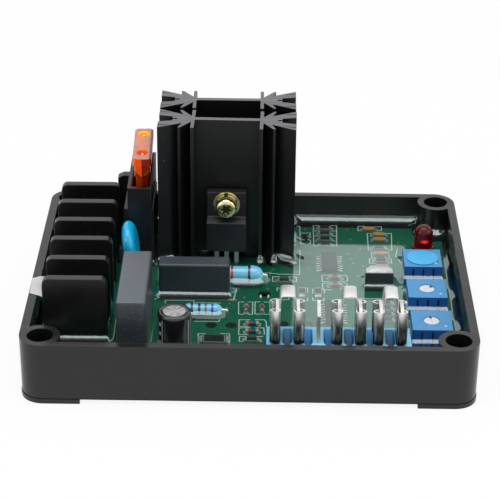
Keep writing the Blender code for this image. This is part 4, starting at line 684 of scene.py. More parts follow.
paints = {
    "tray": tray_paint(),
    "board": board_paint(),
    "resin": resin_paint(),
    "print": moulding("board_print", (0.62, 0.68, 0.65), 0.5, 0.02, level=0.06),
    "run": moulding("covered_copper", (0.006, 0.125, 0.062), 0.35, 0.02, level=0.06),
    # dark discs standing for the shade inside the holes
    "hole": moulding("hole_shade", (0.006, 0.016, 0.008), 0.25, 0.02, level=0.1),
    "via": metal("bare_copper", (0.6, 0.22, 0.08), 0.4),
    "block": moulding("block_plastic", (0.006, 0.0055, 0.0055), 0.3, edge=0.35),
    "holder": moulding("holder_plastic", (0.005, 0.0045, 0.0045), 0.4, edge=0.3),
    "anodised": anodised_paint(),
    "package": package_paint(),
    "chip": moulding("chip_moulding", (0.016, 0.016, 0.017), 0.4, 0.05, 2200.0, level=0.06),
    "logic": moulding("logic_moulding", (0.018, 0.015, 0.019), 0.4, 0.04, 2200.0, level=0.06),
    "pass": pass_paint(),
    "tan": moulding("tan_ceramic", (0.55, 0.3, 0.1), 0.4, 0.03, 1800.0, level=0.06),
    "glass_red": glass_bead("glass_red", (0.6, 0.06, 0.03)),
    "glass_blue": glass_bead("glass_blue", (0.03, 0.12, 0.5)),
    # the last number sets how much lighter faces that look up are painted, as painted light
    "grey_case": case_paint("grey_case", (0.036, 0.044, 0.05), 0.4, 2.7),
    "dark_case": case_paint("dark_case", (0.022, 0.028, 0.034), 0.36, 2.3),
    "bands_large": banded("resistor_coat", (
        (-4.8, 0.65, (0.4, 0.01, 0.02)), (-0.5, 0.65, (0.05, 0.004, 0.04)),
        (-7.6, 0.65, (0.15, 0.04, 0.01)))),
    "bands_small": banded("resistor_coat_small", (
        (-14.2, 0.62, (0.008, 0.008, 0.008)), (-12.4, 0.62, (0.012, 0.012, 0.012)),
        (-10.85, 0.62, (0.15, 0.17, 0.2)), (-9.2, 0.55, (0.01, 0.06, 0.42)))),
    "sleeve": sleeve_paint(),
    "lid": lid_paint(),
    "coating": moulding("disc_coat", (0.002, 0.54, 1.0), 0.16, 0.04, 130.0, level=0.45, coat=0.2),
    "trimmer": trimmer_paint(),
    "rotor": moulding("rotor_plastic", (0.84, 0.85, 0.86), 0.4, 0.01, 1500.0),
    "notch": moulding("notch_plastic", (0.01, 0.05, 0.28), 0.4, 0.01, 1500.0),
    "slot": moulding("slot_shade", (0.6, 0.61, 0.63), 0.5, 0.01, 1500.0),
    "dial": moulding("dial_plastic", (0.07, 0.5, 0.95), 0.42, 0.02, 1500.0),
    "lens": lens_paint(),
    "cup": moulding("lamp_cup", (0.9, 0.03, 0.01), 0.3, 0.01, 1500.0),
    "base": base_paint(),
    "fuse": fuse_paint(),
    "tin": metal("tin", (0.86, 0.85, 0.82), 0.38, (1.0, 1.0, 0.3), 500.0, edge=0.08),
    "bright": link_tin(),
    "tab": metal("tab", (0.86, 0.85, 0.82), 0.55, (1.0, 1.0, 0.3), 500.0, edge=0.08),
    "solder": solder_paint("solder", (0.36, 0.37, 0.36)),
    "pins": solder_paint("chip_pins", (0.7, 0.72, 0.7)),
    "recess": moulding("bolt_recess_shade", (0.02, 0.008, 0.005), 0.35, 0.03),
    "body_edge": moulding("chip_ceramic", (0.33, 0.34, 0.33), 0.5, 0.02, level=0.06),
    "terminal": metal("terminal_metal", (0.62, 0.62, 0.6), 0.3, edge=0.1),
    "yellow_zinc": zinc_paint(),
    "paper": moulding("seal_paper", (0.72, 0.72, 0.71), 0.6, 0.03, 900.0),
}


# ---------------------------------------------------------------- tray

def corner_cell(i, j):
    """The rim round one hole, as a loop about the hole: boss arc, wall ends and outer corner."""
    count = 14
    wall = (INNER / 2 - HOLE_MIDDLE)[0]
    reach = np.sqrt(BOSS_RADIUS ** 2 - wall ** 2)
    edge = (OUTER / 2 - HOLE_MIDDLE)[0]
    start = np.degrees(np.arctan2(wall, -reach))
    inner = arc(BOSS_RADIUS, start, 2 * (225.0 - start), count * 2)
    outer = arc(CORNER_BEND, 0.0, 90.0, count, (edge - CORNER_BEND, edge - CORNER_BEND))
    loop = np.concatenate([inner, [[edge, -reach]], outer, [[-reach, edge]]])
    return loop * (i, j) + HOLE_MIDDLE * (i, j), len(inner)


def lifted(points, z):
    """Flat points at one height."""
    return np.column_stack([points, np.full(len(points), z)])


def rings(*levels, wrap_rows=False):
    """A wall through loops of equal count, each given as flat points and a height."""
    return shell(np.stack([lifted(*level) for level in levels]), caps=False, wrap_rows=wrap_rows)


def towards(points, middle, radius):
    """Each point moved along its ray to a circle about the middle."""
    away = points - middle
    return middle + away / np.linalg.norm(away, axis=1, keepdims=True) * radius


def tray_piece():
    """The tray as rings of points: bores, rim and base cells round them, walls, floor and feet."""
    shapes, outer, inner = [], [], []
    foot = 14.0 * MM
    for i, j in ((1, 1), (-1, 1), (-1, -1), (1, -1)):
        loop, split = corner_cell(i, j)
        middle = HOLE_MIDDLE * (i, j)
        hole = towards(loop, middle, BORE_RADIUS)
        shapes.append(rings((loop, FOOT), (hole, FOOT), (hole, TRAY_TOP), (loop, TRAY_TOP)))
        backward = slice(None, None, 1 if i * j < 0 else -1)
        inner.append(loop[:split][backward])
        outer.append(loop[split:][::-1][backward])
        tip = OUTER / 2 * (i, j)
        bend = arc(CORNER_BEND, 0.0, 90.0, 10, OUTER / 2 - CORNER_BEND) * (i, j)
        heel = tip - foot * np.array([[i, 0], [i, j], [0, j]])
        toe = np.concatenate([bend, heel])
        hole = towards(toe, middle, BORE_RADIUS)
        shapes.append(rings((toe, 0.0), (toe, FOOT), (hole, FOOT), (hole, 0.0), wrap_rows=True))
    outer, inner = np.concatenate(outer), np.concatenate(inner)
    draft = mitres(outer) * 0.15 * MM
    shapes.append(rings((outer - draft, FOOT), (outer, TRAY_TOP)))
    points, faces = rings((inner, TRAY_FLOOR), (inner, TRAY_TOP))
    shapes.append((points, faces + [list(range(len(inner)))]))
    shapes.append((lifted(inner, FOOT), [list(range(len(inner)))]))
    out_count, in_count = len(outer) // 4, len(inner) // 4
    for k in range(4):
        far = [outer[(k + 1) * out_count - 1], outer[(k + 1) * out_count % len(outer)]]
        near = [inner[(k + 1) * in_count % len(inner)], inner[(k + 1) * in_count - 1]]
        for z in (FOOT, TRAY_TOP):
            shapes.append((lifted(np.array(far + near), z), [[0, 1, 2, 3]]))
    obj = piece("tray_shell", shapes, "tray", ["tray"], sharp=30.0)
    edges = obj.modifiers.new("Edges", "BEVEL")
    edges.width, edges.segments = 0.35 * MM, 3
    edges.limit_method, edges.angle_limit = "ANGLE", np.radians(50.0)


# ---------------------------------------------------------------- board, print and resin

def notched(half, radius):
    """A rectangle whose corners are scooped out round the bosses, after the solid."""
    gap = half - HOLE_MIDDLE
    start = np.degrees(np.arctan2(-np.sqrt(radius ** 2 - gap[0] ** 2), gap[0]))
    end = np.degrees(np.arctan2(gap[1], -np.sqrt(radius ** 2 - gap[1] ** 2))) - 360.0
    corner = arc(radius, start, end - start, 10, HOLE_MIDDLE)
    flipped = corner[::-1] * (-1, 1)
    return np.concatenate([corner, flipped, -corner, -flipped])


def ribbon(points, width, low, high):
    """A flat strip of even width along a row of x, y, x, y in mm."""
    return slab(strip(mm(points).reshape(-1, 2), width * MM), low, high)


# Lines on the board as x, y, x, y and so on, in millimetres
PRINT_LINES = (
    (17.9, 39, 16.2, 39, 16.1, 27.2, 17.8, 27.1), (20.8, 39.1, 22.4, 39.2, 22.1, 27.3, 20.5, 27.2),
    (16.2, 35.8, 17.9, 35.9), (20.7, 36, 22.3, 36), (16.1, 32.9, 17.8, 32.9), (20.6, 33, 22.2, 33),
    (16.1, 29.9, 17.7, 29.9), (20.6, 30, 22.2, 30.1),
    (12.7, 33.2, 12.7, 34.5, 15.3, 34.6, 15.2, 33.1), (12.7, 29.9, 12.7, 28.4, 13.4, 28.5),
    (14.6, 28.5, 15.3, 28.5, 15.3, 30.1), (11.8, 38.4, 12.6, 38.4, 12.5, 31.6),
    (11.8, 24.2, 12.5, 24.2, 12.2, 11.1, 7, 11.2, 3.4, 11.9),
    (29.9, 39, 28.1, 38.9, 28, 36.3, 29.9, 36.4), (32.3, 38.7, 34.4, 38.8, 34.2, 36.5, 32.1, 36.4),
    (31.9, 34.7, 30.4, 34.7, 30.3, 25.2, 32.3, 25.2),
    (35.2, 34.8, 36.8, 34.9, 36.4, 25.3, 34.7, 25.3), (32.2, 24.1, 31, 24, 31, 21, 32.2, 21.1),
    (34.6, 24.2, 35.4, 24.3, 35.6, 21.4, 34.2, 21.3),
    (32, 20.3, 30.3, 20.3, 30.3, 17.7, 31.9, 17.8), (34.5, 20.4, 35.9, 20.5, 36, 18, 34.3, 18),
    (31.9, 16.7, 30.5, 16.6, 30.5, 15.4), (20.7, 11.1, 17.9, 11, 17.9, 7.4, 20.1, 7.5),
    (21.8, 11.1, 24, 11, 24.4, 9.5, 24.2, 7.9, 21.9, 7.7),
    (20.6, 6.9, 17.9, 6.5, 18, 3.1, 20.3, 3.3),
    (21.6, 7, 23.9, 6.8, 24.4, 5.5, 24.1, 3.7, 22.1, 3.7), (7.3, 9.8, 5.4, 9.7, 5.4, 7.2, 7.2, 7.3),
    (9.3, 9.8, 11.4, 9.7, 11.4, 7.3, 9.4, 7.2), (-1.6, -3.6, -3, -3.7, -2.9, -9.7, -1.7, -10),
    (-0.8, -3.6, 0.5, -3.6, 0.5, -9.7, -0.5, -10), (2.4, -3.5, 1.1, -3.5, 1.1, -9.6, 2.2, -9.8),
    (3.2, -3.5, 4.7, -3.6, 4.7, -9.7, 3.2, -9.8), (0, -12.5, -2.7, -12.6, -2.7, -16, -0.2, -16),
    (1.1, -12.5, 3.4, -12.4, 3.9, -13.5, 3.9, -15.7),
    (0.1, -16.5, -2.7, -16.6, -2.7, -19.8, -0.4, -19.8), (1.2, -16.5, 3.3, -16.4, 3.5, -19.6),
    (-0.8, -20.7, -2.5, -20.8, -2.5, -23.1, -0.8, -23.1), (1.6, -20.7, 3.1, -20.6),
    (1.7, -23, 3.1, -23), (-5.3, 3.6, -3.6, 3, -4.1, -2.4, -5.1, -2.6),
    (-23.4, -1.1, -23.1, -1.8, -20.2, -2.6, -4.4, -2.7, -4, 0.6), (-13.5, -4.3, -7.3, -4.4),
    (-13.7, -13.6, -7.6, -13.6, -7.4, -12.5), (-21, -4.9, -21.1, -3.3, -14, -3.3, -14, -4.9),
    (-10.6, -19.5, -12.4, -19.6, -12.2, -24.9, -10.4, -24.9),
    (-7.1, -19.4, -4.9, -19.5, -4.9, -24.9, -7, -24.9), (12.4, 4, 14.2, 4, 14.1, 1.6),
    (15.4, 1, 15.4, 3.5, 16.3, 3.5), (17.4, 3.6, 18.3, 3.5, 18.3, 1.3),
    (14.1, -1, 14.1, -2.5, 13.2, -2.5), (15.3, -1, 15.4, -2.4, 16.2, -2.4),
    (17.2, -2.3, 18.1, -2.4, 18.2, -1), (6.5, 2.2, 6.5, 3.8, 7.2, 3.8),
    (8.1, 0, 9.5, -0.5, 9.4, -2, 7.8, -2.3), (22.7, -1.1, 32.3, -1, 36, -0.6),
    (-37, 24.5, -32.6, 24.5), (37.9, 26, 37.2, 22, 38.6, 17.6),
    (40.2, 25.4, 47.6, 25.6, 48.8, 22.4),
)

COPPER_RUNS = (
    (12.9, 26.2, 15.2, 24.4, 15.2, 15, 13, 12.6, 13, 5.4),
    (23.4, 20.4, 25.4, 20.2, 27.4, 22.4, 29.4, 22.6), (23.4, 19.2, 28.6, 19.2),
    (23.4, 17.9, 26.2, 17.6, 28.4, 15.4, 29.6, 15.4), (23.4, 16.6, 25.4, 16.4, 27, 14.4, 27, 8.4),
    (23.4, 15.3, 24.6, 15.2, 26, 13.2, 26, 4), (16.4, 14, 14.6, 12.2, 14.6, 6.2),
    (16.4, 16.6, 11.4, 16.6, 9.8, 14.8), (16.4, 19.2, 12.6, 19.2),
    (16.4, 20.4, 14.6, 22.2, 14.6, 25.6), (9.9, 3, 11.4, 4.8, 16.2, 5), (10.8, 1, 10.8, -11.4),
    (17.8, -0.6, 14.8, -3.4, 14.8, -10.8), (12.9, -0.6, 12.6, -12.4, 10.6, -15.6),
    (24.2, -5.4, 27.4, -5.4, 28.4, -7.6), (24.2, -9.4, 28, -9.6, 29.2, -12.2, 31, -12.2),
    (24.2, -13, 27.6, -13.2), (-3.4, 4.2, 5.2, 4.6, 6.4, 5.8), (-2.4, 1.6, 1.2, 1.4),
    (-12.8, -8.4, -3.4, -8.2), (28.4, 12, 29.6, 9.4, 37.2, 9.4), (30.2, 12.8, 37.4, 12.8),
    (36.4, -2.6, 38, -1, 38, 4.6), (-3.6, -12.4, -10.4, -11.6), (24.4, 38, 24.4, 30, 26.2, 28.2),
    (26.6, 38.4, 26.6, 33.6),
)

THROUGH_HOLES = ((14.0, 20.4), (-9.4, -15.4), (-4.6, -15.4), (8.0, -14.4), (13.8, -14.4),
                 (-31.0, 16.6))
VIAS = ((25.6, 20.2), (25.0, 23.0), (26.1, 17.6), (28.6, 13.6), (14.2, 14.4), (13.9, 37.0),
        (25.2, 36.9), (25.8, 31.2), (-3.6, -2.4), (-5.2, -4.4), (-7.6, -6.6), (28.6, 16.2),
        (27.0, 10.8), (4.2, 3.6), (38.2, 29.6), (11.4, 12.6), (-1.6, -1.2), (6.2, -5.4),
        (28.2, 26.2))


def board_pieces():
    """The plate with what is printed, etched and drilled on it, each a hair thick."""
    gap, scoop, print_width, run_width = 1.2 * MM, 5.9 * MM, 0.24, 0.3
    plate = notched(INNER / 2 - gap, scoop)
    piece("board_plate", [slab(plate, BOARD_LOW, BOARD_TOP)], "board", ["circuit_board"])
    lines = [ribbon(points, print_width, BOARD_TOP, CHIP_LOW) for points in PRINT_LINES]
    piece("printed_lines", lines, "print")
    runs = [ribbon(points, run_width, BOARD_TOP, BOARD_TOP + 0.03 * MM)
            for points in COPPER_RUNS]
    piece("copper_runs", runs, "run")
    # painted shade: each hole is a flat dark disc on the board
    cups = [turned(mm((0, 0), (1.15, 0), (1.35, 0.05), (1.35, -0.3), (0, -0.3)), 28,
                   (x * MM, y * MM, BOARD_TOP + 0.02 * MM)) for x, y in THROUGH_HOLES]
    piece("hole_shades", cups, "hole")
    dots = [turned(mm((0, 0.05), (0.22, 0.05), (0.3, 0), (0.3, -0.1), (0, -0.1)), 12,
                   (x * MM, y * MM, BOARD_TOP)) for x, y in VIAS]
    piece("vias", dots, "via")


def from_box(x, y, place, half, turn):
    """Distance outside a turned rectangle, nought inside it."""
    t = np.radians(turn)
    dx, dy = x - place[0] * MM, y - place[1] * MM
    u = abs(dx * np.cos(t) + dy * np.sin(t)) - half[0] * MM
    v = abs(dy * np.cos(t) - dx * np.sin(t)) - half[1] * MM
    return np.hypot(np.maximum(u, 0.0), np.maximum(v, 0.0))


def from_line(x, y, one, two, radius):
    """Distance outside a rod from one point to another."""
    start, step = mm(*one), mm(*two) - mm(*one)
    t = ((x - start[0]) * step[0] + (y - start[1]) * step[1]) / max((step ** 2).sum(), 1e-12)
    t = np.clip(t, 0.0, 1.0)
    gap = np.hypot(x - start[0] - t * step[0], y - start[1] - t * step[1])
    return np.maximum(gap - radius * MM, 0.0)


# Things the resin wets: place, half size and turn of boxes, ends and radius of rods, all in
# millimetres and degrees; the last two numbers are the rise and the reach of the climb
WALL_CLIMB, BOSS_CLIMB = (1.7, 1.15), (1.5, 1.1)
STANDING_BOXES = (
    ((-41.35, 1.45), (7.55, 26.7), 0.5, 0.9, 0.9), ((-28.5, 25.0), (3.7, 11.0), 0.0, 0.8, 0.8),
    ((-27.35, -20.2), (3.45, 13.1), 0.0, 0.9, 0.9),
    ((-13.95, -0.55), (8.75, 2.45), 0.0, 0.95, 0.85),
    ((-6.4, 26.85), (8.2, 6.4), 0.0, 0.6, 0.8), (TAB_ROW, (17.0, 4.6), 0.0, 0.5, 0.6),
    (PASS_PLACE, (3.5, 1.9), 0.0, 0.8, 0.8),
) + tuple(((TRIMMER_X, y), (TRIMMER_HALF, TRIMMER_HALF), 0.0, 1.0, 0.9) for y in TRIMMER_ROWS)
STANDING_RODS = (
    (CAN, CAN, 4.0, 0.7, 0.8), (LAMP, LAMP, 2.9, 0.7, 0.8),
    ((-7.6, 5.3), (1.6, 5.3), 1.3, 2.4, 1.6), ((-15.5, -11.7), (-7.9, -11.7), 0.7, 1.8, 1.3),
    ((3.9, 5.3), (3.9, 5.3), 0.3, 0.3, 0.4), ((-5.6, -11.7), (-5.6, -11.7), 0.3, 0.3, 0.4),
    ((-30.2, 3.8), (-30.2, 3.8), 0.5, 0.5, 0.6), ((-30.2, 11.2), (-30.2, 11.2), 0.5, 0.5, 0.6),
) + tuple(
    ((SINK_X + side * near, y + y_near), (SINK_X + side * far, y + y_far), radius,
     1.75 + 0.45 * side, 0.95)
    for y in SINK_ROWS for side in (-1, 1) for near, y_near, far, y_far, radius in (
        (8.55, -5.3, 8.55, 5.3, 0.4), (9.0, -1.6, 12.1, -5.2, 0.5), (9.0, 1.6, 12.1, 5.2, 0.5),
        (11.8, -2.6, 17.0, -5.0, 0.7), (11.8, 2.6, 17.0, 5.0, 0.7)))


def climb(gap, rise, reach):
    """How high the resin has crept at a gap from what it wets: rise times e to -gap / reach."""
    return rise * MM * np.exp(-np.maximum(gap, 0.0) / (reach * MM))


def resin_level(x, y):
    """The cast level, plus the highest climb of any wall or part near by, and a faint ripple."""
    wall = np.minimum(INNER[0] / 2 - abs(x), INNER[1] / 2 - abs(y))
    boss = np.hypot(abs(x) - HOLE_MIDDLE[0], abs(y) - HOLE_MIDDLE[1]) - BOSS_RADIUS
    climbs = [climb(wall, *WALL_CLIMB), climb(boss, *BOSS_CLIMB)]
    climbs += [climb(from_box(x, y, place, half, turn), rise, reach)
               for place, half, turn, rise, reach in STANDING_BOXES]
    climbs += [climb(from_line(x, y, one, two, radius), rise, reach)
               for one, two, radius, rise, reach in STANDING_RODS]
    ripple = 0.004 * MM * np.sin(x * 420.0 + 1.3) * np.sin(y * 380.0 + 0.4)
    return RESIN_TOP + np.max(climbs, axis=0) + ripple


def resin_piece():
    """The resin's skin on a grid squeezed between the bosses, closed by sides and a base."""
    rows, cols = 262, 370
    y = np.linspace(-1.0, 1.0, rows) * (INNER[1] / 2 - 0.02 * MM)
    squeeze_from, squeeze_over = 31.9 * MM, 0.9 * MM
    rise = np.clip((abs(y) - squeeze_from) / squeeze_over, 0.0, 1.0)
    chord = np.sqrt(np.maximum(BOSS_RADIUS ** 2 - (abs(y) - HOLE_MIDDLE[1]) ** 2, 0.0))
    reach = (1 - rise) * (INNER[0] / 2 - 0.02 * MM) + rise * (HOLE_MIDDLE[0] - chord + 0.25 * MM)
    x = np.linspace(-1.0, 1.0, cols)[None] * reach[:, None]
    y = np.broadcast_to(y[:, None], x.shape)
    top = np.stack([x, y, resin_level(x, y)], -1).reshape(-1, 3)
    k = np.arange(rows * cols).reshape(rows, cols)
    edge = border(k)
    low = top[edge] * (1, 1, 0) + (0, 0, RESIN_LOW)
    ring_low = rows * cols + np.arange(len(edge))
    sides = np.stack([edge, ring_low, np.roll(ring_low, -1), np.roll(edge, -1)], -1).tolist()
    faces = quads(rows, cols, False) + sides + [ring_low.tolist()]
    piece("resin_skin", [(np.concatenate([top, low]), faces)], "resin", ["potting_resin"],
          sharp=70.0)


# ---------------------------------------------------------------- small parts on the board

# Chips as x, y, size and whether they lie across; glass ones as x, y, across, blue right end
CHIP, SMALL, WIDE = (3.2, 1.6), (2.0, 1.25), (6.3, 3.2)
DARK_CHIPS = tuple((19.1, 27.2 + 3.3 * i, CHIP, 0) for i in range(4)) + (
    (33.1, 25.9, CHIP, 0), (33.2, 18.8, CHIP, 0), (8.3, 7.4, CHIP, 0), (12.7, 1.7, CHIP, 1),
    (16.7, 1.7, CHIP, 1), (0.5, -22.6, CHIP, 0), (-8.5, -22.6, WIDE, 0),
) + tuple((33.2, -12.4 + 2.9 * i, CHIP, 0) for i in range(4))
TAN_CHIPS = ((30.9, 36.6, CHIP, 0), (33.4, 33.4, CHIP, 0), (33.4, 30.5, CHIP, 0),
             (33.4, 22.5, CHIP, 0), (33.4, 15.3, CHIP, 0), (8.3, 1.9, SMALL, 1))
GLASS_CHIPS = ((21.1, 9.0, 0, 0), (21.1, 4.9, 0, 0), (0.5, -15.1, 0, 1), (0.5, -18.9, 0, 1),
               (-1.1, -7.7, 1, 0), (2.8, -7.7, 1, 0))


def placed(shape, across, x, y):
    """A shape built about the origin, turned across if asked, and set on the board."""
    return moved(shape, (x * MM, y * MM, CHIP_LOW), 90.0 if across else 0.0)


def chip_block(size, height, edge, share=1.0):
    """The middle of a chip, a softened box that takes a share of its length."""
    flat = rounded(size[0] * share * MM, size[1] * MM, 0.08 * MM, 2)
    return slab(flat, 0.0, height * MM, edge * MM, 2)


def chip_ends(size, height):
    """Two plated caps with a sloping solder foot in front of each."""
    shapes = []
    length, width = size[0] / 2, size[1] / 2
    for side in (-1, 1):
        slope = mm((length - 0.35, 0), (length + 0.7, 0), (length + 0.6, 0.05),
                   (length + 0.25, 0.15), (length + 0.02, height * 0.6), (length, height + 0.02),
                   (length - 0.35, height + 0.02))
        slope[:, 0] *= side
        shapes.append(slab(slope, -width * 0.96 * MM, width * 0.96 * MM, axis="Y"))
    return shapes


def chip_pieces():
    """All the low chips: bodies by colour, and their plated ends as one piece."""
    dark, tan, ends, edges = [], [], [], []
    for group, chips in ((dark, DARK_CHIPS), (tan, TAN_CHIPS)):
        for x, y, size, across in chips:
            tall = 0.55 if group is dark else 0.75
            group.append(placed(chip_block(size, tall, 0.06, 0.76), across, x, y))
            if group is dark:
                wide = (size[0], size[1] + 0.24)
                edges.append(placed(chip_block(wide, tall - 0.05, 0.04, 0.82), across, x, y))
            ends += [placed(end, across, x, y) for end in chip_ends(size, tall - 0.04)]
    left, right = [], []
    for x, y, across, blue in GLASS_CHIPS:
        bead = turned(mm((0, -0.9), (0.3, -0.9), (0.42, -0.6), (0.42, 0.02), (0, 0.02)),
                      16, (0, 0, 0.45 * MM), "X")
        left.append(placed(bead, across, x, y))
        (right if blue else left).append(placed(moved(bead, turn=180.0), across, x, y))
        for side in (-1, 1):
            cap = turned(mm((0, 0.85), (0.5, 0.85), (0.56, 0.95), (0.56, 1.45), (0.45, 1.6),
                            (0, 1.6)), 16, (0, 0, 0.5 * MM), "X")
            ends.append(placed(moved(cap, turn=0.0 if side > 0 else 180.0), across, x, y))
            pad = rounded(1.1 * MM, 1.5 * MM, 0.3 * MM, 4, (side * 1.65 * MM, 0.0))
            ends.append(placed(slab(pad, 0.0, 0.1 * MM, 0.04 * MM, 2), across, x, y))
    piece("chip_resistors", dark, "chip")
    piece("chip_edges", edges, "body_edge")
    piece("chip_capacitors", tan, "tan")
    piece("glass_left", left, "glass_red")
    piece("glass_right", right, "glass_blue")
    piece("chip_ends", ends, "solder")
    small, legs = [], []
    for x, y, across in ((13.9, 31.0, 1), (3.4, 0.0, 0)):
        small.append(placed(chip_block((2.9, 1.3), 0.75, 0.12), across, x, y))
        for leg in ((-0.95, -1), (0.95, -1), (0.0, 1)):
            foot = mm((0.4, 0.4), (0.95, 0.3), (1.15, 0.06), (1.6, 0.06)) * (leg[1], 1)
            foot = slab(strip(foot, 0.13 * MM), (leg[0] - 0.22) * MM, (leg[0] + 0.22) * MM,
                        axis="X")
            legs.append(placed(foot, across, x, y))
    piece("small_transistors", small, "chip")
    piece("small_legs", legs, "pins")


def logic_chip(name, per_side, place):
    """A package with softened edges, and its bent pins on both sides."""
    length = (per_side - 1) * PIN_PITCH + 1.1
    low, high = stand(0.05), stand(1.12)
    flat = rounded(3.9 * MM, length * MM, 0.15 * MM, 3, mm(*place))
    piece(name + "_package", [slab(flat, low, high, 0.1 * MM, 3)], "logic", [name])
    pins = []
    for i in range(per_side):
        y = place[1] + (i - (per_side - 1) / 2) * PIN_PITCH
        for side in (-1, 1):
            line = smooth_line(mm((1.8, 0.3), (2.2, 0.3), (2.4, 0.22), (2.55, 0.06), (2.7, 0.04),
                                  (3.35, 0.04)), 14, 2)
            line = line * (side, 1) + (place[0] * MM, STAND)
            pins.append(slab(strip(line, 0.14 * MM), (y - 0.18) * MM, (y + 0.18) * MM, axis="Y"))
    piece(name + "_pins", pins, "pins")


def pass_transistor_piece():
    """The package with a flat front and a round back, its upper edge drawn in."""
    t = np.radians(np.arange(25) * 7.5)
    back = np.stack([3.5 * np.cos(t), -0.19 + 2.09 * np.sin(t)], -1)
    outline = (np.concatenate([[[-3.5, -1.9], [3.5, -1.9]], back]) + PASS_PLACE) * MM
    piece("pass_package", [slab(outline, STAND, stand(5.2), 0.45 * MM, 5)], "pass",
          ["pass_transistor"], sharp=50.0)


# ---------------------------------------------------------------- wired parts

def resistor_piece(name, length, radius, lead, place, paint):
    """A dumb-bell of coating carried round X, and its wire bent down at both ends."""
    half, waist, cap = length / 2, radius * 0.9, radius * 1.05
    height = stand(radius + 0.3)
    end = [(0.0, half), (0.45, half), (radius * 0.55, half - 0.12 * cap),
           (radius * 0.88, half - 0.45 * cap), (radius, half - cap),
           (radius * 0.99, half - 1.35 * cap), (waist * 1.01, half - 1.75 * cap),
           (waist, half - 2.2 * cap)]
    half_line = smooth_line(mm(end).reshape(-1, 2), 26, 3)
    profile = np.concatenate([half_line, half_line[::-1] * (1, -1)])
    x, y = place[0] * MM, place[1] * MM
    body = turned(profile, 40, (x, y, height), "X")
    piece(name + "_body", [body], paint, [name], sharp=60.0)
    leads = []
    for side in (-1, 1):
        reach = (half + lead) * side * MM
        path = smooth_line([(side * (half - 0.8) * MM, 0, 0), (reach - side * 0.9 * MM, 0, 0),
                            (reach, 0, -0.05 * MM), (reach, 0, -0.9 * MM),
                            (reach, 0, LEAD_END - height)], 26, 3)
        leads.append(tube(path + np.array([x, y, height]), 0.31 * MM, 12))
    piece(name + "_leads", leads, "tin")


def can_pieces():
    """The sleeve as a turned line; the lid as a disc with two crossed grooves of bell section."""
    centre = (CAN[0] * MM, CAN[1] * MM, STAND)
    profile = [(0, 0), (3.8, 0), (4.0, 0.2), (4.0, 1.7), (3.72, 2.0), (3.72, 2.2), (4.0, 2.5),
               (4.0, 10.9), (3.9, 11.35), (3.6, 11.65), (3.2, 11.7), (2.85, 11.6), (2.7, 11.45),
               (0, 11.45)]
    body = smooth_line(mm(profile).reshape(-1, 2), 90, 2)
    piece("can_sleeve", [turned(body, 56, centre)], "sleeve", ["electrolytic_capacitor"],
          sharp=60.0)
    radius = np.linspace(0.001, 2.72, 40)[:, None] * MM
    turn = (np.arange(96) * TURN / 96)[None]
    x, y = radius * np.cos(turn), radius * np.sin(turn)
    score = np.minimum(abs(x * np.cos(0.5) + y * np.sin(0.5)),
                       abs(y * np.cos(0.5) - x * np.sin(0.5)))
    inside = np.clip((2.4 * MM - radius) / (0.3 * MM), 0.0, 1.0)
    z = 11.5 * MM - 0.05 * MM * inside * np.exp(-(score / (0.09 * MM)) ** 2)
    grid = np.stack([x + centre[0], y + centre[1], z + centre[2]], -1)
    base = grid * (1, 1, 0) + (0, 0, centre[2] + 11.2 * MM)
    piece("can_lid", [shell(np.concatenate([base, grid[::-1]]))], "lid", sharp=30.0)


def varistor_piece():
    """A disc whose coating is thickest at its middle, leaning over on coated legs."""
    t = np.radians(np.linspace(-90.0, 90.0, 33))
    rim = np.stack([3.7 + 2.25 * np.cos(t), 1.62 * np.sin(t)], -1)
    profile = np.concatenate([[[0.0, -1.72]], [[1.8, -1.7]], rim, [[1.8, 1.7]], [[0.0, 1.72]]]) * MM
    disc = turned(smooth_line(profile, 60, 2), 72, (0, 0, 0), "X", 0.004)
    centre = (-30.15 * MM, 7.5 * MM, stand(9.65))
    disc = moved(disc, centre, 0.0, -9.0)
    legs, wires = [], []
    for side in (-1, 1):
        x, y = centre[0] + 0.57 * MM, centre[1] + side * 3.75 * MM
        path = smooth_line([(centre[0] + 0.4 * MM, y, centre[2] - 3.4 * MM),
                            (x, y, centre[2] - 5.0 * MM), (x, y, centre[2] - 6.3 * MM)], 12, 2)
        legs.append(tube(path, np.linspace(0.95, 0.5, 12) * MM, 16))
        wires.append(tube([(x, y, centre[2] - 5.8 * MM), (x, y, 7.4 * MM), (x, y, LEAD_END)],
                          0.38 * MM, 12))
    piece("varistor_coating", [disc] + legs, "coating", ["varistor"], sharp=60.0)
    piece("varistor_wires", wires, "tin")


def lamp_pieces():
    """The lens with its dome and flange, and the small lit cup in its foot."""
    x, y = LAMP[0] * MM, LAMP[1] * MM
    t = np.radians(np.linspace(0.0, 90.0, 16))
    dome = np.stack([2.4 * np.cos(t), 6.95 + 2.4 * np.sin(t)], -1)
    foot = [[0, 0], [2.3, 0], [2.35, 2.3], [2.8, 2.4], [2.9, 2.5], [2.9, 3.4], [2.8, 3.52],
            [2.45, 3.56], [2.4, 3.66]]
    profile = np.concatenate([foot, dome]) * MM
    profile[-1, 0] = 0.0
    piece("lamp_lens", [turned(profile, 48, (x, y, STAND))], "lens", ["indicator_lamp"], sharp=40.0)
    cup = turned(mm((0, 0.5), (0.55, 0.5), (0.7, 1.0), (1.0, 1.7), (0.92, 1.75), (0.6, 1.35),
                    (0, 1.3)), 24, (x, y, stand(0.6)))
    piece("lamp_cup", [cup], "cup")


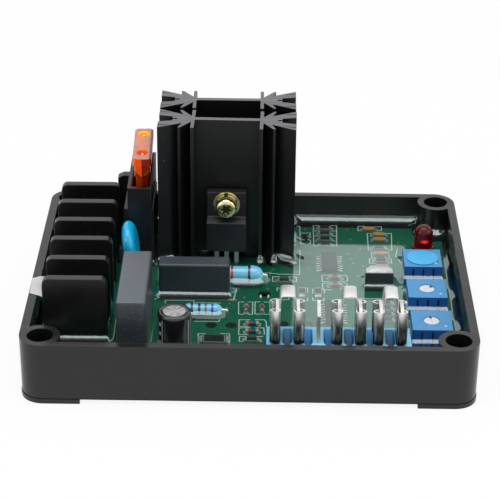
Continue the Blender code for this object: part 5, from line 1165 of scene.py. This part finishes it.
def bolt_piece(name, x, seat, out):
    """A pan head over a polar grid: a quarter-round shoulder and a six-lobed recess, with a dark
    plug low in it as painted shade.
    """
    head, tall, shoulder, shank_end = 2.6, 2.0, 1.1, 6.8
    radius = np.concatenate([np.linspace(0.01, head, 40), [head]])[:, None]
    turn = (np.arange(96) * TURN / 96)[None]
    lobe = 1.08 + 0.3 * np.cos(6 * turn + 0.4)
    sunk = np.clip((lobe - radius) / 0.16 + 0.5, 0.0, 1.0)
    bend = np.clip((radius - (head - shoulder)) / shoulder, 0.0, 1.0)
    depth = shoulder * (1.0 - np.sqrt(np.maximum(1.0 - bend ** 2, 0.0))) + 1.0 * sunk
    depth[-1] = tall
    depth, radius = depth * MM, np.broadcast_to(radius * MM, depth.shape)
    y = seat + out * (tall * MM - depth)
    grid = np.stack([x + radius * np.cos(turn), y, BOLT_HEIGHT + radius * np.sin(turn)], -1)
    # painted shade: a dark star-shaped plug low in the recess
    t = np.arange(72) * TURN / 72
    lobes = (0.98 + 0.27 * np.cos(6 * t + 0.4)) * MM
    star = np.stack([x + lobes * np.cos(t), BOLT_HEIGHT + lobes * np.sin(t)], -1)
    piece(name + "_recess",
          [slab(star, *sorted((seat + out * 1.5 * MM, seat + out * 0.6 * MM)), axis="Y")], "recess")
    shank = turned(mm((0, 0), (1.4, 0), (1.4, shank_end), (0, shank_end)), 20,
                   (x, seat if out < 0 else seat - shank_end * MM, BOLT_HEIGHT), "Y")
    piece(name + "_head", [shell(grid), shank], "yellow_zinc", [name], sharp=35.0)


# ---------------------------------------------------------------- links, trimmers, fuse, seal

def receptacle(x, side):
    """A plate whose two edges roll round the tab to a blunt point and back to its face."""
    curl = smooth_line(mm((0, 1.9), (0, 2.9), (0.25, 3.6), (1.1, 3.72), (1.85, 3.3), (2.36, 2.68),
                          (1.85, 2.08), (1.2, 1.75)), 44, 2)
    line = np.concatenate([curl[::-1] * (1, -1), curl]) * (side, 1)
    outline = strip(line, SHEET)
    share = np.linspace(0.0, 1.0, 18)[:, None]
    lean = 1.07 - 0.13 * share - 0.07 * share ** 4
    grid = np.stack([x + outline[None, :, 0] * (1.0 + 0.02 * share),
                     TAB_Y * MM + outline[None, :, 1] * lean,
                     np.broadcast_to(STAND + (3.9 + 8.1 * share) * MM, (18, len(outline)))], -1)
    return shell(grid)


def link_piece(index, left, right):
    """Two receptacles joined by a flat crown of the same sheet."""
    low, high, top = STAND + mm(11.0, 14.95, 15.42)
    across = 0.1 * MM
    line = [(left, low), (left + across, high), (left + across + 0.4 * MM, top),
            (right + across - 0.4 * MM, top), (right + across, high), (right, low)]
    bends = smooth_line(line, 60, 2)
    front, rear = -29.3 * MM, -23.7 * MM
    crown = slab(strip(bends, SHEET), front, rear, 0.05 * MM, 2, "Y")
    shapes = [receptacle(left, -1), receptacle(right, 1), crown]
    piece(f"link_{index}", shapes, "bright", [f"tab_link_{index}"], sharp=40.0)


def tab_row_base():
    """The base as a height over a grid: level, less a sloping scoop between each two tabs."""
    x = np.linspace(-17.0, 17.0, 426)
    y = np.linspace(-4.6, 4.6, 58)[:, None]
    share = x / TAB_PITCH - 0.5
    gap = abs(share - np.round(share)) * TAB_PITCH
    gap = np.where(abs(x) < 3 * TAB_PITCH, gap, 9.0)[None]
    half = 0.45 + 0.5 * np.clip((y + 3.6) / 0.9, 0.0, 1.0)
    inside = np.clip((half - gap) / 0.5 + 0.5, 0.0, 1.0) * np.clip((3.9 - y) / 0.3, 0.0, 1.0)
    inside = inside ** 2 * (3 - 2 * inside)
    z = 3.5 - inside * (0.35 + 2.2 * np.clip((3.9 - y) / 8.5, 0.0, 1.0))
    place = np.array([TAB_ROW[0] * MM, TAB_ROW[1] * MM, STAND])
    top = np.stack(np.broadcast_arrays(x[None], y, z), -1) * MM + place
    low = np.stack(np.broadcast_arrays(x[None], y, 0.0), -1) * MM + place
    wall = [border(grid) for grid in (low, top)]
    shapes = [shell(top, wrap=False, caps=False), shell(np.stack(wall), caps=False),
              (wall[0], [list(range(len(wall[0])))])]
    piece("tab_row_base", shapes, "base", ["tab_base"], sharp=50.0)


def rotor_piece(index, y, notch):
    """A white rotor with a rounded rim, a grey strip painted as the shade of a shallow slot, and a
    coloured notch in its face.
    """
    profile = mm((0, -2.6), (1.9, -2.6), (1.9, -0.25), (1.85, -0.12), (1.75, -0.06), (0, -0.04))
    centre = mm(TRIMMER_X, y, TRIMMER_TOP)
    body = f"rotor_{index}"
    piece(f"rotor_face_{index}", [turned(profile, 48, centre)], "rotor", [f"trimmer_rotor_{index}"],
          body)
    spot = rounded(0.72 * MM, 0.8 * MM, 0.1 * MM, 3, centre[:2] + mm(*notch))
    piece(f"rotor_notch_{index}", [slab(spot, centre[2] - 0.4 * MM, centre[2] + 0.02 * MM)],
          "notch", (), body)
    turn = np.degrees(np.arctan2(notch[1], notch[0])) - 90.0
    # painted shade: the slot is a flat grey strip on the face
    slot = slab(rounded(0.2 * MM, 2.3 * MM, 0.09 * MM, 3), -0.1 * MM, -0.015 * MM)
    piece(f"rotor_slot_shade_{index}", [moved(slot, centre, turn)], "slot", (), body)


def trimmer_collars():
    """A flat ring of the body's plastic round each rotor, down into its recess."""
    profile = mm((1.96, -0.5), (2.3, -0.5), (2.3, 0.012), (1.96, 0.012))
    closed = np.concatenate([profile, profile[:1]])
    collars = [turned(closed, 48, mm(TRIMMER_X, y, TRIMMER_TOP)) for y in TRIMMER_ROWS[1:]]
    piece("rotor_collars", collars, "trimmer")


def dial_piece():
    """The thin round dial on the rear rotor: a flat top, a rolled edge and a stem below."""
    profile = mm((0, -2.6), (1.85, -2.6), (1.85, 0.06), (3.85, 0.06), (3.98, 0.12), (3.98, 0.2),
                 (3.85, 0.26), (2.4, 0.3), (0, 0.32))
    dial = turned(smooth_line(profile, 80, 1), 72, mm(TRIMMER_X, TRIMMER_ROWS[0], TRIMMER_TOP))
    piece("dial_disc", [dial], "dial", ["trimmer_rotor_1"], "rotor_1")


def fuse_points():
    """The bright blade tip that shows at the near edge of each eye of the fuse."""
    tips = [slab(rounded(0.5 * MM, 0.9 * MM, 0.2 * MM, 3, mm(x, y)), stand(28.7), stand(29.26))
            for x, y in ((-27.98, 30.1), (-27.65, 18.7))]
    piece("fuse_blade_tips", tips, "tin")


def trimmer_marks():
    """The small bright dimple near one corner of each trimmer's top."""
    profile = mm((0, 0.03), (0.14, 0.05), (0.24, 0.05), (0.28, 0), (0.28, -0.1), (0, -0.1))
    shapes = [turned(profile, 18, mm(TRIMMER_X + 3.15, y - 2.75, TRIMMER_TOP + 0.01))
              for y in TRIMMER_ROWS]
    piece("trimmer_dimples", shapes, "rotor")


def seal_piece():
    """A blank seal: a patch mixed between its two sides, dropping as a square past its middle."""
    u = np.linspace(0.0, 1.0, 12)[:, None, None]
    v = np.linspace(0.0, 1.0, 14)[None, :, None]
    sides = mm((-52.95, -9.0), (-52.8, -16.6)), mm((-50.2, -7.4), (-49.2, -18.2))
    left, right = (rear + v * (front - rear) for rear, front in sides)
    z = 15.47 * MM - 2.0 * MM * np.clip(u - 0.55, 0.0, 1.0) ** 2
    sheet = np.concatenate([left * (1 - u) + right * u, np.broadcast_to(z, (12, 14, 1))], -1)
    rim = np.concatenate([sheet + (0, 0, 0.05 * MM), (sheet - (0, 0, 0.03 * MM))[::-1]])
    piece("blank_seal", [shell(rim, wrap=False, caps=False)], "paper", sharp=60.0, weld=False)


tray_piece()
board_pieces()
resin_piece()
chip_pieces()
logic_chip("logic_chip_rear", 7, (19.9, 16.6))
logic_chip("logic_chip_front", 8, (20.2, -9.7))
pass_transistor_piece()
resistor_piece("resistor_large", 12.0, 2.35, 0.9, (-3.0, 5.3), "bands_large")
resistor_piece("resistor_small", 9.5, 1.6, 1.3, (-11.65, -11.7), "bands_small")
can_pieces()
varistor_piece()
lamp_pieces()
bolt_piece("front_bolt", -6.556 * MM, (SINK_ROWS[0] - 0.45 - 5.0) * MM, -1)
bolt_piece("rear_bolt", SINK_X * MM, (SINK_ROWS[1] + 1.05 + 5.0) * MM, 1)
for number, (left_x, right_x) in enumerate(((7.0, 10.4), (21.5, 24.75), (31.1, 34.3)), 1):
    link_piece(number, left_x * MM, right_x * MM)
tab_row_base()
trimmer_collars()
dial_piece()
fuse_points()
rotor_piece(2, TRIMMER_ROWS[1], (1.05, 0.87))
rotor_piece(3, TRIMMER_ROWS[2], (-0.2, 1.4))
trimmer_marks()
seal_piece()


# ---------------------------------------------------------------- camera, light, floor

def studio():
    """The photograph's camera, a white room, one broad lamp above and two softer ones."""
    yaw, pitch, roll = np.radians([-0.451, 27.349, 0.549])
    ahead = np.array([np.sin(yaw) * np.cos(pitch), np.cos(yaw) * np.cos(pitch), -np.sin(pitch)])
    right = np.array([np.cos(yaw), -np.sin(yaw), 0.0])
    up = np.cross(right, ahead)
    side = np.cos(roll) * right + np.sin(roll) * up
    top = np.cos(roll) * up - np.sin(roll) * right
    data = bpy.data.cameras.new("camera")
    focal_pixels, picture_pixels = 1887.65, 500.0
    data.sensor_width = 36.0
    data.lens = focal_pixels * data.sensor_width / picture_pixels
    data.clip_start, data.clip_end = 0.01, 20.0
    camera = linked("camera", data)
    facing = Matrix(np.column_stack([side, top, -ahead]).tolist()).to_4x4()
    facing.translation = (0.002908, -0.411734, 0.232272)
    camera.matrix_world = facing
    bpy.context.scene.camera = camera

    for name, place, wide, deep, power in (("top_lamp", (0.0, -0.05, 0.9), 0.86, 0.62, 4.5),
                                           ("left_lamp", (-0.9, -0.5, 0.6), 0.5, 0.5, 1.6),
                                           ("right_lamp", (0.9, -0.3, 0.6), 0.5, 0.5, 1.6)):
        lamp = bpy.data.lights.new(name, "AREA")
        lamp.shape, lamp.size, lamp.size_y, lamp.energy = "RECTANGLE", wide, deep, power
        obj = linked(name, lamp)
        obj.location = place
        obj.rotation_euler = (-obj.location).to_track_quat("-Z", "Y").to_euler()

    bpy.context.scene.view_settings.view_transform = "Standard"
    room = Paint("room", "World")
    level = room.range(room.seen(), 0.0, 1.0, 0.4, 1.0)
    white = room.add("Background", Color=(1.0, 1.0, 1.0), Strength=level)
    bpy.context.scene.world = room.show(white.outputs[0])


def floor():
    """A pale floor that is nearly white to the camera and keeps a faint shadow."""
    p = Paint("floor")
    matt = p.add("BsdfDiffuse", Color=(0.8, 0.8, 0.8)).outputs[0]
    glow = p.add("Emission", Color=(1.0, 1.0, 1.0), Strength=1.03).outputs[0]
    both = p.add("MixShader", Fac=p.times(p.seen(), 0.88))
    p.fill(both.inputs[1], matt)
    p.fill(both.inputs[2], glow)
    half = 3.0
    mesh = bpy.data.meshes.new("floor")
    mesh.from_pydata([(-half, -half, 0.0), (half, -half, 0.0), (half, half, 0.0),
                      (-half, half, 0.0)], [], [(0, 1, 2, 3)])
    mesh.materials.append(p.show(both.outputs[0]))
    obj = linked("floor", mesh)


# Paints of the solids that show as they are, by how their names begin
NODE_PAINT = {
    "terminal_block": "block", "terminal_contact": "terminal", "terminal_screw": "terminal",
    "fuse_holder": "holder", "fuse_clip": "tin", "fuse_body": "fuse", "fuse_element": "tin",
    "heat_sink": "anodised", "power": "package", "front_": "yellow_zinc", "rear_": "yellow_zinc",
    "film_capacitor_large": "grey_case", "film_capacitor_small": "dark_case",
    "trimmer_body": "trimmer", "spade_tab": "tab",
}
for node_name, obj in nodes.items():
    for start, paint_name in NODE_PAINT.items():
        if node_name.startswith(start):
            for slot in obj.material_slots:
                slot.material = paints[paint_name]

studio()
floor()
